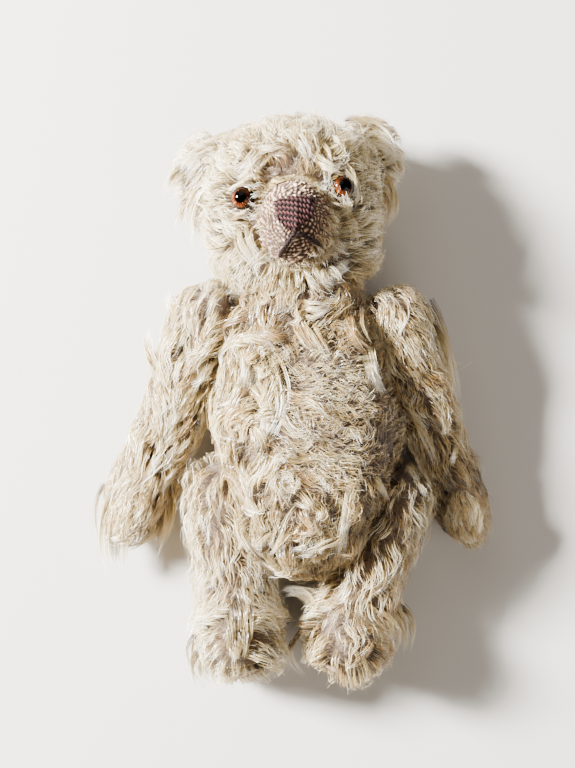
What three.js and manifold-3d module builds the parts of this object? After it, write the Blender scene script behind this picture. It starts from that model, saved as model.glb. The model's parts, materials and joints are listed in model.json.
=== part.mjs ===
// A small jointed mohair teddy bear, well worn, lying on its back.
// Millimetres. +Z is up (the belly side), +Y runs towards the head, +X is the viewer's right.

import * as THREE from 'three';
import { mergeVertices } from 'three/addons/utils/BufferGeometryUtils.js';
import Module from 'manifold-3d';

const wasm = await Module();
wasm.setup();

// Driving dimensions

const clearance = 0.3; // air between two touching pieces
const clothWall = 1.5; // woven backing with the flattened roots of the pile
const feltThickness = 1.1;
const restShift = new THREE.Vector3(-2, -1.05, 0); // puts the middle of the bounding box over the origin

const bodyForm = {
  // from the neck to the crotch: middle of the section, half width, half depth
  stations: [
    { at: [3, 47, 25], wide: 15, deep: 15 },
    { at: [3, 35, 25], wide: 21, deep: 18.5 },
    { at: [3.5, 20, 24.5], wide: 27, deep: 22 },
    { at: [4.5, 0, 25], wide: 31, deep: 25.5 },
    { at: [5, -20, 25.5], wide: 32, deep: 27 },
    { at: [5.2, -38, 24.5], wide: 27.5, deep: 25.5 },
    { at: [5.2, -54, 24], wide: 23, deep: 22 },
  ],
  capShare: [0.16, 0.2],
};

const head = {
  centre: new THREE.Vector3(0, 66, 25),
  roll: 6.5, // degrees, the viewer's right ear is the higher one
  neckDrop: 26.5, // from the centre down to the neck joint
  muzzle: { at: [0, -8.2, 15], radii: [13, 14.5, 22] },
  muzzleSeam: 18, // height of the muzzle's sewn edge over the head's centre
};

const headForm = {
  // from the crown to the neck, measured from the head's centre
  stations: [
    { at: [0, 25.5, -1], wide: 23, deep: 21 },
    { at: [0, 13, -0.5], wide: 26.5, deep: 24.5 },
    { at: [0, -3, 0.5], wide: 27, deep: 25.3 },
    { at: [0, -17, 1], wide: 24.5, deep: 22.5 },
    { at: [0, -31, 0], wide: 19, deep: 18 },
  ],
  capShare: [0.36, 0.13],
};

const ear = {
  at: [26.5, 14.5, -2],
  radius: 10.5,
  thickness: 6.5,
  splay: 28, // degrees, how far each ear turns its face outwards
};

const eye = {
  at: [15.3, 1.4],
  radius: 4,
  halfDepth: 3,
  backCut: 1.3, // the flat back lies this far behind the middle of the bead
  standOff: 2, // from the cloth to the middle of the bead
  shankRadius: 0.7,
  shankLength: 7,
};

const nose = { at: [0, -7], width: 13, height: 10.5, corner: 2.4, thickness: 1.2 };
const mouth = { stroke: 1.1, drop: 2, branch: 8, slant: 28, thickness: 0.8 };

const neckJoint = { discRadius: 9.8 };

const arm = {
  names: ['arm_left', 'arm_right'],
  seats: [[-20.5, 23, 24.5], [26.5, 23, 24.5]],
  splay: [20, 18], // degrees outwards from straight down
  discRadius: 7,
  // from the top of the shoulder to the tip of the paw:
  // distance down from the joint, outwards from it, height from it, half thickness, half width
  stations: [
    { down: -13, out: 8, rise: 0, thick: 9.5, wide: 11 },
    { down: -6, out: 8, rise: 0, thick: 10.5, wide: 12.5 },
    { down: 6, out: 8.2, rise: -1.5, thick: 10.8, wide: 12.8 },
    { down: 24, out: 9.2, rise: -6, thick: 9.8, wide: 11.2 },
    { down: 44, out: 10.4, rise: -11, thick: 9.2, wide: 9.8 },
    { down: 63, out: 11.4, rise: -14, thick: 9.6, wide: 9.8 },
    { down: 79.5, out: 11.6, rise: -13, thick: 8.4, wide: 8.6 },
  ],
  capShare: [0.14, 0.18],
  pad: { down: 66, out: 10.6, halfWidth: 5.5, halfLength: 8.5 },
};

const leg = {
  names: ['leg_left', 'leg_right'],
  seats: [[-17, -33, 21], [26.8, -33, 21]],
  splay: [-12, -24], // degrees, both legs lean inwards
  discRadius: 8,
  stations: [
    { down: -16, out: 6.2, rise: 0, thick: 7.5, wide: 12 },
    { down: -7, out: 6.2, rise: 0, thick: 8.2, wide: 15.5 },
    { down: 5, out: 6.4, rise: -1, thick: 8.4, wide: 16 },
    { down: 23, out: 7.6, rise: -4, thick: 9, wide: 14.5 },
    { down: 41, out: 9.2, rise: -7, thick: 9.5, wide: 12.5 },
    { down: 56, out: 10, rise: -8, thick: 9, wide: 11 },
  ],
  capShare: [0.19, 0.2],
  foot: { down: 46.5, out: 10.4, rise: -2.5, radii: [13, 11.4, 19.6] },
  soleDown: 54, // distance of the flat sole from the joint
  pad: { out: 10.4, rise: -2.5, halfWidth: 9.6, halfLength: 15.8 },
};

const disc = { thickness: 2, sides: 14, bore: 1.6 };
const washer = { radius: 4, thickness: 1, sides: 8, bore: 1.5 };
const pin = { radius: 0.9, eyeRadius: 1.9, eyeWire: 0.7, tailLength: 7.4, tailRadius: 0.6, bore: 1.4 };

const outerGrid = [16, 13]; // segments round and rings along a cloth skin
const innerGrid = [14, 9]; // the same inside a skin and on the stuffing

// Materials

const cloth = (color) => new THREE.MeshStandardMaterial({ color, roughness: 0.95, metalness: 0 });
const metal = (color) => new THREE.MeshStandardMaterial({ color, roughness: 0.45, metalness: 1 });

const materials = {
  mohair: () => cloth(0xe2cfaa),
  muzzleCloth: () => cloth(0xc3a48c),
  felt: () => cloth(0x9c7a58),
  woodWool: () => cloth(0xc9a66b),
  noseThread: () => cloth(0x4b302e),
  glass: () => new THREE.MeshStandardMaterial({ color: 0x6b3413, roughness: 0.08, metalness: 0 }),
  hardboard: () => new THREE.MeshStandardMaterial({ color: 0x7d5f3d, roughness: 0.85, metalness: 0 }),
  steel: () => metal(0x8d8a84),
};

// Solids: closed geometry in and out of the boolean library

function solidOf(geometry) {
  const bare = geometry.clone();
  for (const name of Object.keys(bare.attributes)) {
    if (name !== 'position') bare.deleteAttribute(name);
  }
  const merged = mergeVertices(bare, 1e-4);
  return new wasm.Manifold(new wasm.Mesh({
    numProp: 3,
    vertProperties: merged.attributes.position.array,
    triVerts: new Uint32Array(merged.index.array),
  }));
}

function geometryOf(solid) {
  const mesh = solid.getMesh();
  const geometry = new THREE.BufferGeometry();
  geometry.setAttribute('position', new THREE.BufferAttribute(mesh.vertProperties, 3));
  geometry.setIndex(new THREE.BufferAttribute(mesh.triVerts, 1));
  geometry.computeVertexNormals();
  return geometry;
}

function placed(geometry, matrix) {
  return solidOf(geometry.clone().applyMatrix4(matrix));
}

// The matrix that stands a piece's +Z on `axis` and its origin at `point`.
function standing(point, axis) {
  const turn = new THREE.Quaternion().setFromUnitVectors(new THREE.Vector3(0, 0, 1), axis);
  return new THREE.Matrix4().compose(point, turn, new THREE.Vector3(1, 1, 1));
}

// Everything on the far side of the plane through `point` facing `axis`.
function halfSpace(point, axis) {
  const size = 400;
  const box = new THREE.BoxGeometry(size, size, size).translate(0, 0, size / 2);
  return placed(box, standing(point, axis));
}

function offset(point, axis, distance) {
  return point.clone().addScaledVector(axis, distance);
}

// A round bar along the axis of `seat`, from one distance to another.
function bar(seat, radius, from, to, sides) {
  const rod = new THREE.CylinderGeometry(radius, radius, to - from, sides).rotateX(Math.PI / 2);
  return placed(rod, standing(offset(seat.point, seat.axis, (from + to) / 2), seat.axis));
}

// A stuffed form: sections along a curve, closed by rounded ends.
// `inset` moves the whole surface inwards.
function softForm(form, inset, grid) {
  const centres = new THREE.CatmullRomCurve3(form.stations.map((s) => new THREE.Vector3(...s.at)));
  const halves = new THREE.CatmullRomCurve3(form.stations.map((s) => new THREE.Vector3(s.wide, s.deep, 0)));
  const [first, last] = [centres.getPoint(0), centres.getPoint(1)];
  const lift = new THREE.Vector3(0, 0, 1);
  const along = last.clone().sub(first).setZ(0).normalize();
  const across = lift.clone().cross(along);
  const trim = inset / first.distanceTo(last);
  const geometry = new THREE.SphereGeometry(1, ...grid);
  const position = geometry.attributes.position;
  const p = new THREE.Vector3();
  for (let i = 0; i < position.count; i++) {
    p.fromBufferAttribute(position, i);
    const share = (1 - p.y) / 2;
    const t = THREE.MathUtils.clamp(trim + share * (1 - 2 * trim), 0, 1);
    const ring = Math.hypot(p.x, p.z);
    const cap = roundedEnds(share, form.capShare);
    const grow = ring > 1e-6 ? cap / ring : 0;
    const half = halves.getPoint(t).subScalar(inset);
    const centre = centres.getPoint(t).addScaledVector(along, (2 * share - 1) * Math.max(-inset, 0));
    centre.addScaledVector(across, p.x * half.x * grow).addScaledVector(lift, p.z * half.y * grow);
    position.setXYZ(i, centre.x, centre.y, centre.z);
  }
  return solidOf(geometry);
}

// 1 along the form, falling to 0 at both ends along quarter ellipses.
function roundedEnds(share, [startShare, endShare]) {
  const rise = Math.min(share / startShare, 1);
  const fall = Math.min((1 - share) / endShare, 1);
  return Math.sqrt(1 - (1 - rise) ** 2) * Math.sqrt(1 - (1 - fall) ** 2);
}

function ellipsoid({ at, radii }, inset, grid) {
  const ball = new THREE.SphereGeometry(1, ...grid);
  ball.scale(radii[0] - inset, radii[1] - inset, radii[2] - inset);
  return solidOf(ball.translate(...at));
}

// Nodes

const bear = new THREE.Group();
bear.position.copy(restShift);

function addPiece(name, solid, material) {
  const mesh = new THREE.Mesh(geometryOf(solid), material);
  mesh.name = name;
  bear.add(mesh);
}

// Disc joints. A seat is the middle of a joint, with its axis pointing into the limb.
// The root's side lies at negative distances along the axis and the limb's at positive ones.

const clothFrom = clearance;
const clothTo = clothFrom + clothWall;
const discFrom = clothTo + clearance;
const discTo = discFrom + disc.thickness;
const washerFrom = discTo + clearance;
const washerTo = washerFrom + washer.thickness;
const pinRoom = washerTo + 5.5; // the stuffing is pressed back this far behind the washer

// The half of the joint's plane on one side, pushed back by `distance`. `side` is 1 for the limb.
function besideSeat(seat, side, distance) {
  const facing = seat.axis.clone().multiplyScalar(side);
  return halfSpace(offset(seat.point, facing, distance), facing);
}

function sideBar(seat, side, radius, from, to, sides) {
  return bar(seat, radius, Math.min(side * from, side * to), Math.max(side * from, side * to), sides);
}

function hardwareRoom(seat, side) {
  const discRoom = sideBar(seat, side, seat.discRadius + clearance, 0, washerFrom, disc.sides);
  const washerRoom = sideBar(seat, side, washer.radius + clearance, 0, pinRoom, washer.sides);
  return discRoom.add(washerRoom);
}

function pinHole(seat) {
  return bar(seat, pin.bore, -pinRoom, pinRoom, washer.sides);
}

function ringOnAxis(seat, side, radius, bore, from, to, sides) {
  const solid = sideBar(seat, side, radius, from, to, sides);
  return solid.subtract(sideBar(seat, side, bore, from - 1, to + 1, washer.sides));
}

function cotterPin(seat) {
  const tailAt = washerTo + clearance + pin.tailRadius;
  const eyeAt = washerTo + clearance + pin.eyeRadius + pin.eyeWire;
  const frame = standing(seat.point, seat.axis);
  const shaft = bar(seat, pin.radius, -tailAt, eyeAt - pin.eyeRadius, 8);
  const eyeRing = new THREE.TorusGeometry(pin.eyeRadius, pin.eyeWire, 5, 9).rotateX(Math.PI / 2);
  const tails = new THREE.CylinderGeometry(pin.tailRadius, pin.tailRadius, pin.tailLength, 5);
  return shaft
    .add(placed(eyeRing.translate(0, 0, eyeAt), frame))
    .add(placed(tails.translate(0, 0, -tailAt), frame));
}

function addJointHardware(name, seat, limb) {
  const halves = [['body', -1], [limb, 1]];
  for (const [owner, side] of halves) {
    const board = ringOnAxis(seat, side, seat.discRadius, disc.bore, discFrom, discTo, disc.sides);
    addPiece(`${name}_disc_${owner}_side`, board, materials.hardboard());
    const plate = ringOnAxis(seat, side, washer.radius, washer.bore, washerFrom, washerTo, washer.sides);
    addPiece(`${name}_washer_${owner}_side`, plate, materials.steel());
  }
  addPiece(`${name}_cotter_pin`, cotterPin(seat), materials.steel());
}

// A cloth skin and its filling. `forms(inset, grid)` gives the plain stuffed form,
// and `seats` lists the joints on it with the side of each that it lies on.

const aboveSurface = (height) => halfSpace(new THREE.Vector3(0, 0, height), new THREE.Vector3(0, 0, 1));

function stuffed(forms, seats, inset, grid) {
  let solid = forms(inset, grid).intersect(aboveSurface(inset));
  for (const { seat, side } of seats) {
    solid = solid.intersect(besideSeat(seat, side, clothFrom + inset));
  }
  return solid;
}

function skinOf(forms, seats) {
  let skin = stuffed(forms, seats, 0, outerGrid).subtract(stuffed(forms, seats, clothWall, innerGrid));
  for (const { seat } of seats) skin = skin.subtract(pinHole(seat));
  return skin;
}

function stuffingOf(forms, seats) {
  let filling = stuffed(forms, seats, clothWall + clearance, innerGrid);
  for (const { seat, side } of seats) filling = filling.subtract(hardwareRoom(seat, side));
  return filling;
}

// Seats of the five joints

const radians = THREE.MathUtils.degToRad;
const headTurn = new THREE.Matrix4().makeRotationZ(radians(head.roll));
const headFrame = headTurn.clone().setPosition(head.centre);
const neckAxis = new THREE.Vector3(0, 1, 0).applyMatrix4(headTurn);
const neckSeat = {
  point: offset(head.centre, neckAxis, -head.neckDrop),
  axis: neckAxis,
  discRadius: neckJoint.discRadius,
};

// Limb `i` of a pair: its seat, and the way from the seat down the limb.
function limbSeat(limb, i) {
  const outwards = i === 0 ? -1 : 1;
  const splay = radians(limb.splay[i]);
  const axis = new THREE.Vector3(outwards * Math.cos(splay), Math.sin(splay), 0);
  const down = new THREE.Vector3(outwards * Math.sin(splay), -Math.cos(splay), 0);
  return { point: new THREE.Vector3(...limb.seats[i]), axis, down, discRadius: limb.discRadius };
}

const armSeats = [0, 1].map((i) => limbSeat(arm, i));
const legSeats = [0, 1].map((i) => limbSeat(leg, i));

// A point given by its distances from a limb's seat.
function onLimb(seat, down, out, rise) {
  return offset(offset(seat.point, seat.down, down), seat.axis, out).setZ(seat.point.z + rise);
}

function limbForm(limb, seat) {
  const stations = limb.stations.map((s) => ({
    at: onLimb(seat, s.down, s.out, s.rise).toArray(),
    wide: s.thick,
    deep: s.wide,
  }));
  return { stations, capShare: limb.capShare };
}

// Body

const bodySeats = [neckSeat, ...armSeats, ...legSeats].map((seat) => ({ seat, side: -1 }));
const bodyForms = (inset, grid) => softForm(bodyForm, inset, grid);
addPiece('body_cloth', skinOf(bodyForms, bodySeats), materials.mohair());
addPiece('body_stuffing', stuffingOf(bodyForms, bodySeats), materials.woodWool());

// Head: skin with an opening for the muzzle, which is a cloth of its own

const inHead = (solid) => solid.transform(headFrame.elements);
const headForms = (inset, grid) => inHead(softForm(headForm, inset, grid));
const muzzleForm = (inset, grid = outerGrid) => inHead(ellipsoid(head.muzzle, inset, grid));
const muzzleSeamPlane = (below) => aboveSurface(head.centre.z + head.muzzleSeam - below);
const headSeats = [{ seat: neckSeat, side: 1 }];

const headFront = new THREE.Mesh(geometryOf(headForms(0, outerGrid)));

// The place `lift` above the front of the head over (x, y), both measured from the head's centre.
function onFace(x, y, lift) {
  const above = new THREE.Vector3(x, y, 100).applyMatrix4(headFrame);
  const ray = new THREE.Raycaster(above, new THREE.Vector3(0, 0, -1));
  const [hit] = ray.intersectObject(headFront);
  return { point: offset(hit.point, hit.face.normal, lift), axis: hit.face.normal };
}

const eyeSeats = [-1, 1].map((side) => onFace(side * eye.at[0], eye.at[1], eye.standOff));
const shankHole = (seat) => bar(seat, eye.shankRadius + clearance, -eye.shankLength - 1, 0, 10);

let headCloth = skinOf(headForms, headSeats).subtract(muzzleForm(-clearance));
let headFilling = stuffed(headForms, headSeats, clothWall + clearance, innerGrid)
  .subtract(muzzleForm(-clearance).intersect(muzzleSeamPlane(clearance)))
  .add(muzzleForm(clothWall + clearance, innerGrid))
  .subtract(hardwareRoom(neckSeat, 1));
for (const seat of eyeSeats) {
  headCloth = headCloth.subtract(shankHole(seat));
  headFilling = headFilling.subtract(shankHole(seat));
}
addPiece('head_cloth', headCloth, materials.mohair());
addPiece('head_stuffing', headFilling, materials.woodWool());
const muzzleCloth = muzzleForm(0).subtract(muzzleForm(clothWall, innerGrid)).intersect(muzzleSeamPlane(0));
addPiece('muzzle_cloth', muzzleCloth, materials.muzzleCloth());

// Ears: two cloth faces sewn together, set on the corners of the head

[-1, 1].forEach((side, i) => {
  const lobe = new THREE.SphereGeometry(1, 14, 8).scale(ear.radius, ear.radius, ear.thickness / 2);
  lobe.rotateY(radians(side * ear.splay)).translate(side * ear.at[0], ear.at[1], ear.at[2]);
  const solid = inHead(solidOf(lobe)).subtract(headForms(-clearance, outerGrid));
  addPiece(['ear_left', 'ear_right'][i], solid, materials.mohair());
});

// Eyes: glass beads with a flat back, each on a wire shank fused into it

['eye_left', 'eye_right'].forEach((name, i) => {
  const seat = eyeSeats[i];
  const frame = standing(seat.point, seat.axis);
  const bead = new THREE.SphereGeometry(1, 14, 8).rotateX(Math.PI / 2);
  const ball = placed(bead.scale(eye.radius, eye.radius, eye.halfDepth), frame);
  const front = halfSpace(offset(seat.point, seat.axis, -eye.backCut), seat.axis);
  const shank = bar(seat, eye.shankRadius, -eye.shankLength, 0, 8);
  addPiece(name, ball.intersect(front).add(shank), materials.glass());
});

// Nose and mouth: thread worked over the muzzle, a rounded triangle and an upside-down Y

function overMuzzle(shape, thickness) {
  const height = 80;
  const prism = new THREE.ExtrudeGeometry(shape, { depth: height, bevelEnabled: false, curveSegments: 4 });
  const layer = muzzleForm(-clearance - thickness).subtract(muzzleForm(-clearance));
  return layer
    .intersect(inHead(solidOf(prism)))
    .intersect(muzzleSeamPlane(-clearance))
    .subtract(headForms(-clearance, outerGrid));
}

function noseShape() {
  const { at, width, height, corner } = nose;
  const [left, right] = [at[0] - width / 2, at[0] + width / 2];
  const [top, bottom] = [at[1] + height / 2, at[1] - height / 2];
  const shape = new THREE.Shape();
  shape.moveTo(left + corner, top);
  shape.lineTo(right - corner, top);
  shape.quadraticCurveTo(right, top, right, top - corner);
  shape.quadraticCurveTo(right, top - height / 2, at[0] + corner / 2, bottom + corner / 4);
  shape.quadraticCurveTo(at[0], bottom, at[0] - corner / 2, bottom + corner / 4);
  shape.quadraticCurveTo(left, top - height / 2, left, top - corner);
  shape.quadraticCurveTo(left, top, left + corner, top);
  return shape;
}

function mouthShape() {
  const half = mouth.stroke / 2;
  const top = nose.at[1] - nose.height / 2 - clearance;
  const fork = top - mouth.drop;
  const reach = mouth.branch * Math.cos(radians(mouth.slant));
  const fall = mouth.branch * Math.sin(radians(mouth.slant));
  const shape = new THREE.Shape();
  shape.moveTo(-half, top);
  shape.lineTo(half, top);
  shape.lineTo(half, fork);
  shape.lineTo(reach, fork - fall);
  shape.lineTo(reach - half, fork - fall - mouth.stroke);
  shape.lineTo(0, fork - 2 * mouth.stroke);
  shape.lineTo(-reach + half, fork - fall - mouth.stroke);
  shape.lineTo(-reach, fork - fall);
  shape.lineTo(-half, fork);
  return shape;
}

addPiece('nose_stitching', overMuzzle(noseShape(), nose.thickness), materials.noseThread());
addPiece('mouth_stitching', overMuzzle(mouthShape(), mouth.thickness), materials.noseThread());

// Arms, with a felt pad on each palm

const oval = (halfWidth, halfLength) => new THREE.CylinderGeometry(1, 1, 60, 20)
  .rotateX(Math.PI / 2)
  .scale(halfWidth, halfLength, 1);

arm.names.forEach((name, i) => {
  const seat = armSeats[i];
  const form = limbForm(arm, seat);
  const forms = (inset, grid) => softForm(form, inset, grid);
  addPiece(`${name}_cloth`, skinOf(forms, [{ seat, side: 1 }]), materials.mohair());
  addPiece(`${name}_stuffing`, stuffingOf(forms, [{ seat, side: 1 }]), materials.woodWool());
  const palm = onLimb(seat, arm.pad.down, arm.pad.out, 20);
  const outline = oval(arm.pad.halfWidth, arm.pad.halfLength)
    .rotateZ(Math.atan2(seat.down.x, -seat.down.y))
    .translate(palm.x, palm.y, palm.z);
  const layer = forms(-clearance - feltThickness, outerGrid).subtract(forms(-clearance, outerGrid));
  addPiece(`paw_pad_${name.slice(4)}`, layer.intersect(solidOf(outline)), materials.felt());
});

// Legs, with a felt sole under each foot

leg.names.forEach((name, i) => {
  const seat = legSeats[i];
  const form = limbForm(leg, seat);
  const soleAt = offset(seat.point, seat.down, leg.soleDown);
  const upwards = seat.down.clone().negate();
  const turn = Math.atan2(seat.down.x, -seat.down.y);
  const foot = (inset, grid) => {
    const { radii, down, out, rise } = leg.foot;
    const [long, thick, tall] = radii.map((r) => r - inset);
    const ball = new THREE.SphereGeometry(1, ...grid).scale(thick, long, tall).rotateZ(turn);
    return solidOf(ball.translate(...onLimb(seat, down, out, rise).toArray()));
  };
  const forms = (inset, grid) => softForm(form, inset, grid)
    .add(foot(inset, grid))
    .intersect(halfSpace(offset(soleAt, upwards, inset), upwards));
  addPiece(`${name}_cloth`, skinOf(forms, [{ seat, side: 1 }]), materials.mohair());
  addPiece(`${name}_stuffing`, stuffingOf(forms, [{ seat, side: 1 }]), materials.woodWool());
  const pad = leg.pad;
  const sole = new THREE.CylinderGeometry(1, 1, feltThickness, 24).scale(pad.halfWidth, 1, pad.halfLength);
  const centre = onLimb(seat, leg.soleDown + clearance + feltThickness / 2, pad.out, pad.rise);
  sole.rotateZ(turn).translate(centre.x, centre.y, centre.z);
  addPiece(`foot_pad_${name.slice(4)}`, solidOf(sole).intersect(aboveSurface(0)), materials.felt());
});

// Disc joints

addJointHardware('neck', neckSeat, 'head');
arm.names.forEach((name, i) => addJointHardware(`shoulder_${name.slice(4)}`, armSeats[i], 'arm'));
leg.names.forEach((name, i) => addJointHardware(`hip_${name.slice(4)}`, legSeats[i], 'leg'));

export default bear;
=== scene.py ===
import json
import bmesh
import bpy
import numpy as np
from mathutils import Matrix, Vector


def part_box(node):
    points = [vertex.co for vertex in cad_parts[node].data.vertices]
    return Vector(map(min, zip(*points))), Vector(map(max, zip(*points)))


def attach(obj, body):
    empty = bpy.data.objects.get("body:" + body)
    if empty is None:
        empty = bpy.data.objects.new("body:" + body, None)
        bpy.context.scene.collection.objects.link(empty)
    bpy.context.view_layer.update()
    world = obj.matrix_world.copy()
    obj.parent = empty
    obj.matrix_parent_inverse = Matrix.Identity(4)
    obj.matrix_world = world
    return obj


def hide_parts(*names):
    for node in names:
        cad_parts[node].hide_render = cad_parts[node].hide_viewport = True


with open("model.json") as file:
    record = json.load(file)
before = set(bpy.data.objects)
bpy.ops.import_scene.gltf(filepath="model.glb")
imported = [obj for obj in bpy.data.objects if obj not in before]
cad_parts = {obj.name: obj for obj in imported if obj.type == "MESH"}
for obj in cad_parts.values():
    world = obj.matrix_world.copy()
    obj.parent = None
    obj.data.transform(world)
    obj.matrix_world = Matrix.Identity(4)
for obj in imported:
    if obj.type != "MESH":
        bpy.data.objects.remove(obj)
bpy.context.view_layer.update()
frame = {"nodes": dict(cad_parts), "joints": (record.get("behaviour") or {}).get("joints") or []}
mm = 0.001
up = np.array([0.0, 0.0, 1.0])


# small tools

def linear(hexColour):
    # sRGB hex to linear: divide by 12.92 below 0.04045, a 2.4 power above it
    c = np.array([int(hexColour[i:i + 2], 16) for i in (1, 3, 5)]) / 255
    c = np.where(c <= 0.04045, c / 12.92, ((c + 0.055) / 1.055) ** 2.4)
    return (*c.tolist(), 1.0)


def unit(v):
    return v / np.maximum(np.linalg.norm(v, axis=-1, keepdims=True), 1e-9)


def smooth(x, low, high):
    # 0 below low, 1 above high, and the 3x^2 - 2x^3 curve between them
    t = np.clip((x - low) / (high - low), 0, 1)
    return t * t * (3 - 2 * t)


def softNoise(points, size, seed):
    # a sum of six sine waves with random directions and phases, from -1 to 1
    r = np.random.default_rng(seed)
    waves = unit(r.normal(size=(6, 3))) * (2 * np.pi / size) * r.uniform(0.6, 1.6, (6, 1))
    return np.sin(points @ waves.T + r.uniform(0, 6.3, 6)).sum(axis=1) / 3.2


def cornersOf(node):
    low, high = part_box(node)
    return np.array(low), np.array(high)


def middle(node):
    low, high = cornersOf(node)
    return (low + high) / 2


def meshArrays(obj):
    mesh = obj.data
    verts = np.empty(len(mesh.vertices) * 3)
    mesh.vertices.foreach_get("co", verts)
    mesh.calc_loop_triangles()
    tris = np.empty(len(mesh.loop_triangles) * 3, np.int32)
    mesh.loop_triangles.foreach_get("vertices", tris)
    return verts.reshape(-1, 3), tris.reshape(-1, 3)


def vertexNormals(obj):
    normals = np.empty(len(obj.data.vertices) * 3)
    obj.data.vertices.foreach_get("normal", normals)
    return normals.reshape(-1, 3)


def shadeSmooth(mesh):
    mesh.polygons.foreach_set("use_smooth", np.ones(len(mesh.polygons), bool))


def linkNew(name, data):
    obj = bpy.data.objects.new(name, data)
    bpy.context.scene.collection.objects.link(obj)
    return obj


def makeObject(name, verts, faces, uv=None):
    # faces is one array of quads or triangles, uv one pair for each face corner
    mesh = bpy.data.meshes.new(name)
    count, sides = faces.shape
    mesh.vertices.add(len(verts))
    mesh.vertices.foreach_set("co", verts.astype(np.float32).ravel())
    mesh.loops.add(count * sides)
    mesh.loops.foreach_set("vertex_index", faces.astype(np.int32).ravel())
    mesh.polygons.add(count)
    mesh.polygons.foreach_set("loop_start", np.arange(0, count * sides, sides, dtype=np.int32))
    if uv is not None:
        layer = mesh.uv_layers.new(name="UVMap")
        layer.data.foreach_set("uv", uv.astype(np.float32).ravel())
    mesh.update(calc_edges=True)
    mesh.validate()
    shadeSmooth(mesh)
    return linkNew(name, mesh)


def applyModifiers(obj):
    graph = bpy.context.evaluated_depsgraph_get()
    done = bpy.data.meshes.new_from_object(obj.evaluated_get(graph), depsgraph=graph)
    obj.modifiers.clear()
    obj.data = done
    shadeSmooth(done)
    done.update()


def pointValues(obj, name, values):
    layer = obj.data.attributes.new(name, "FLOAT", "POINT")
    layer.data.foreach_set("value", values)


def firstHits(starts, ways, corners):
    # Moller-Trumbore for every ray against every triangle: the nearest distance of each ray
    a, b, c = corners[:, 0], corners[:, 1] - corners[:, 0], corners[:, 2] - corners[:, 0]
    nearest = np.full(len(starts), np.inf)
    block = 400
    for first in range(0, len(starts), block):
        s, w = starts[first:first + block, None], ways[first:first + block, None]
        p = np.cross(w, c[None])
        det = (p * b).sum(-1)
        det = np.where(np.abs(det) < 1e-18, 1e-18, det)
        t = s - a
        u = (t * p).sum(-1) / det
        q = np.cross(t, b[None])
        v = (w * q).sum(-1) / det
        far = (c * q).sum(-1) / det
        hit = (u >= -1e-6) & (v >= -1e-6) & (u + v <= 1 + 1e-6) & (far > 0)
        nearest[first:first + block] = np.where(hit, far, np.inf).min(axis=1)
    return nearest


def gridFaces(rows, columns, wrap):
    # quads between neighbouring rows and columns of a grid; wrap joins the last column to the first
    i, j = np.meshgrid(np.arange(rows - 1), np.arange(columns if wrap else columns - 1), indexing="ij")
    k = (j + 1) % columns
    quads = [i * columns + j, i * columns + k, (i + 1) * columns + k, (i + 1) * columns + j]
    return np.stack(quads, axis=-1).reshape(-1, 4)


def tubeFaces(rows, sides, count=1):
    # triangles of closed tubes. Each tube is a grid of rows and sides; after all the grids come two
    # poles for each tube, which close its first and its last row
    start = (np.arange(count) * rows * sides)[:, None]
    quads = (gridFaces(rows, sides, True)[None] + start[..., None]).reshape(-1, 4)
    first = start + np.arange(sides)
    last = first + (rows - 1) * sides
    pole = np.broadcast_to(count * rows * sides + 2 * np.arange(count)[:, None], first.shape)
    caps = [np.stack([np.roll(first, -1, 1), first, pole], -1),
            np.stack([last, np.roll(last, -1, 1), pole + 1], -1)]
    return np.concatenate([quads[:, [0, 1, 2]], quads[:, [0, 2, 3]], *[c.reshape(-1, 3) for c in caps]])


def faceOutwards(obj, weld=True):
    work = bmesh.new()
    work.from_mesh(obj.data)
    if weld:
        bmesh.ops.remove_doubles(work, verts=work.verts, dist=0.01 * mm)
    bmesh.ops.recalc_face_normals(work, faces=work.faces)
    work.to_mesh(obj.data)
    work.free()


def evenOut(obj, voxel, rounds):
    # a voxel remesh in even quads, then a few rounds of smoothing
    faceOutwards(obj)
    remesh = obj.modifiers.new("even", "REMESH")
    remesh.mode, remesh.voxel_size = "VOXEL", voxel * mm
    rounding = obj.modifiers.new("round", "SMOOTH")
    rounding.iterations = rounds
    applyModifiers(obj)


def jointAt(name):
    joint = next(j for j in frame["joints"] if j["name"] == name)
    return np.array(joint["pos_m"]), unit(np.array(joint["axis"], float))


def downFrom(name):
    # the way a limb hangs: square to its joint's axis, level, away from the head
    axis = jointAt(name)[1]
    way = unit(np.cross(up, axis))
    return way if way[1] < 0 else -way


def settle(obj, material, body, node=None):
    # a finished piece: its material, the body it rides on, and the CAD node that it stands for
    obj.data.materials.clear()
    obj.data.materials.append(material)
    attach(obj, body)
    if node:
        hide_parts(node)


# camera, light and floor

view = {"height": 0.525, "lens": 70.3, "sensor": 36.0, "centre": (-3.8 * mm, 5.45 * mm)}
lamps = [
    # name, place, size across, watts, colour
    ("window", (-1.1, 0.35, 0.74), 0.26, 232.0, "#faf9f7"),
    ("fill", (0.75, -0.6, 0.9), 1.0, 9.0, "#fff4e8"),
    ("sky", (-0.35, 0.95, 0.9), 1.0, 3.5, "#ffffff"),
]
room = {"colour": "#e6e6e3", "strength": 0.17, "floorHalf": 3.0, "floor": "#cfcac2"}


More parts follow.
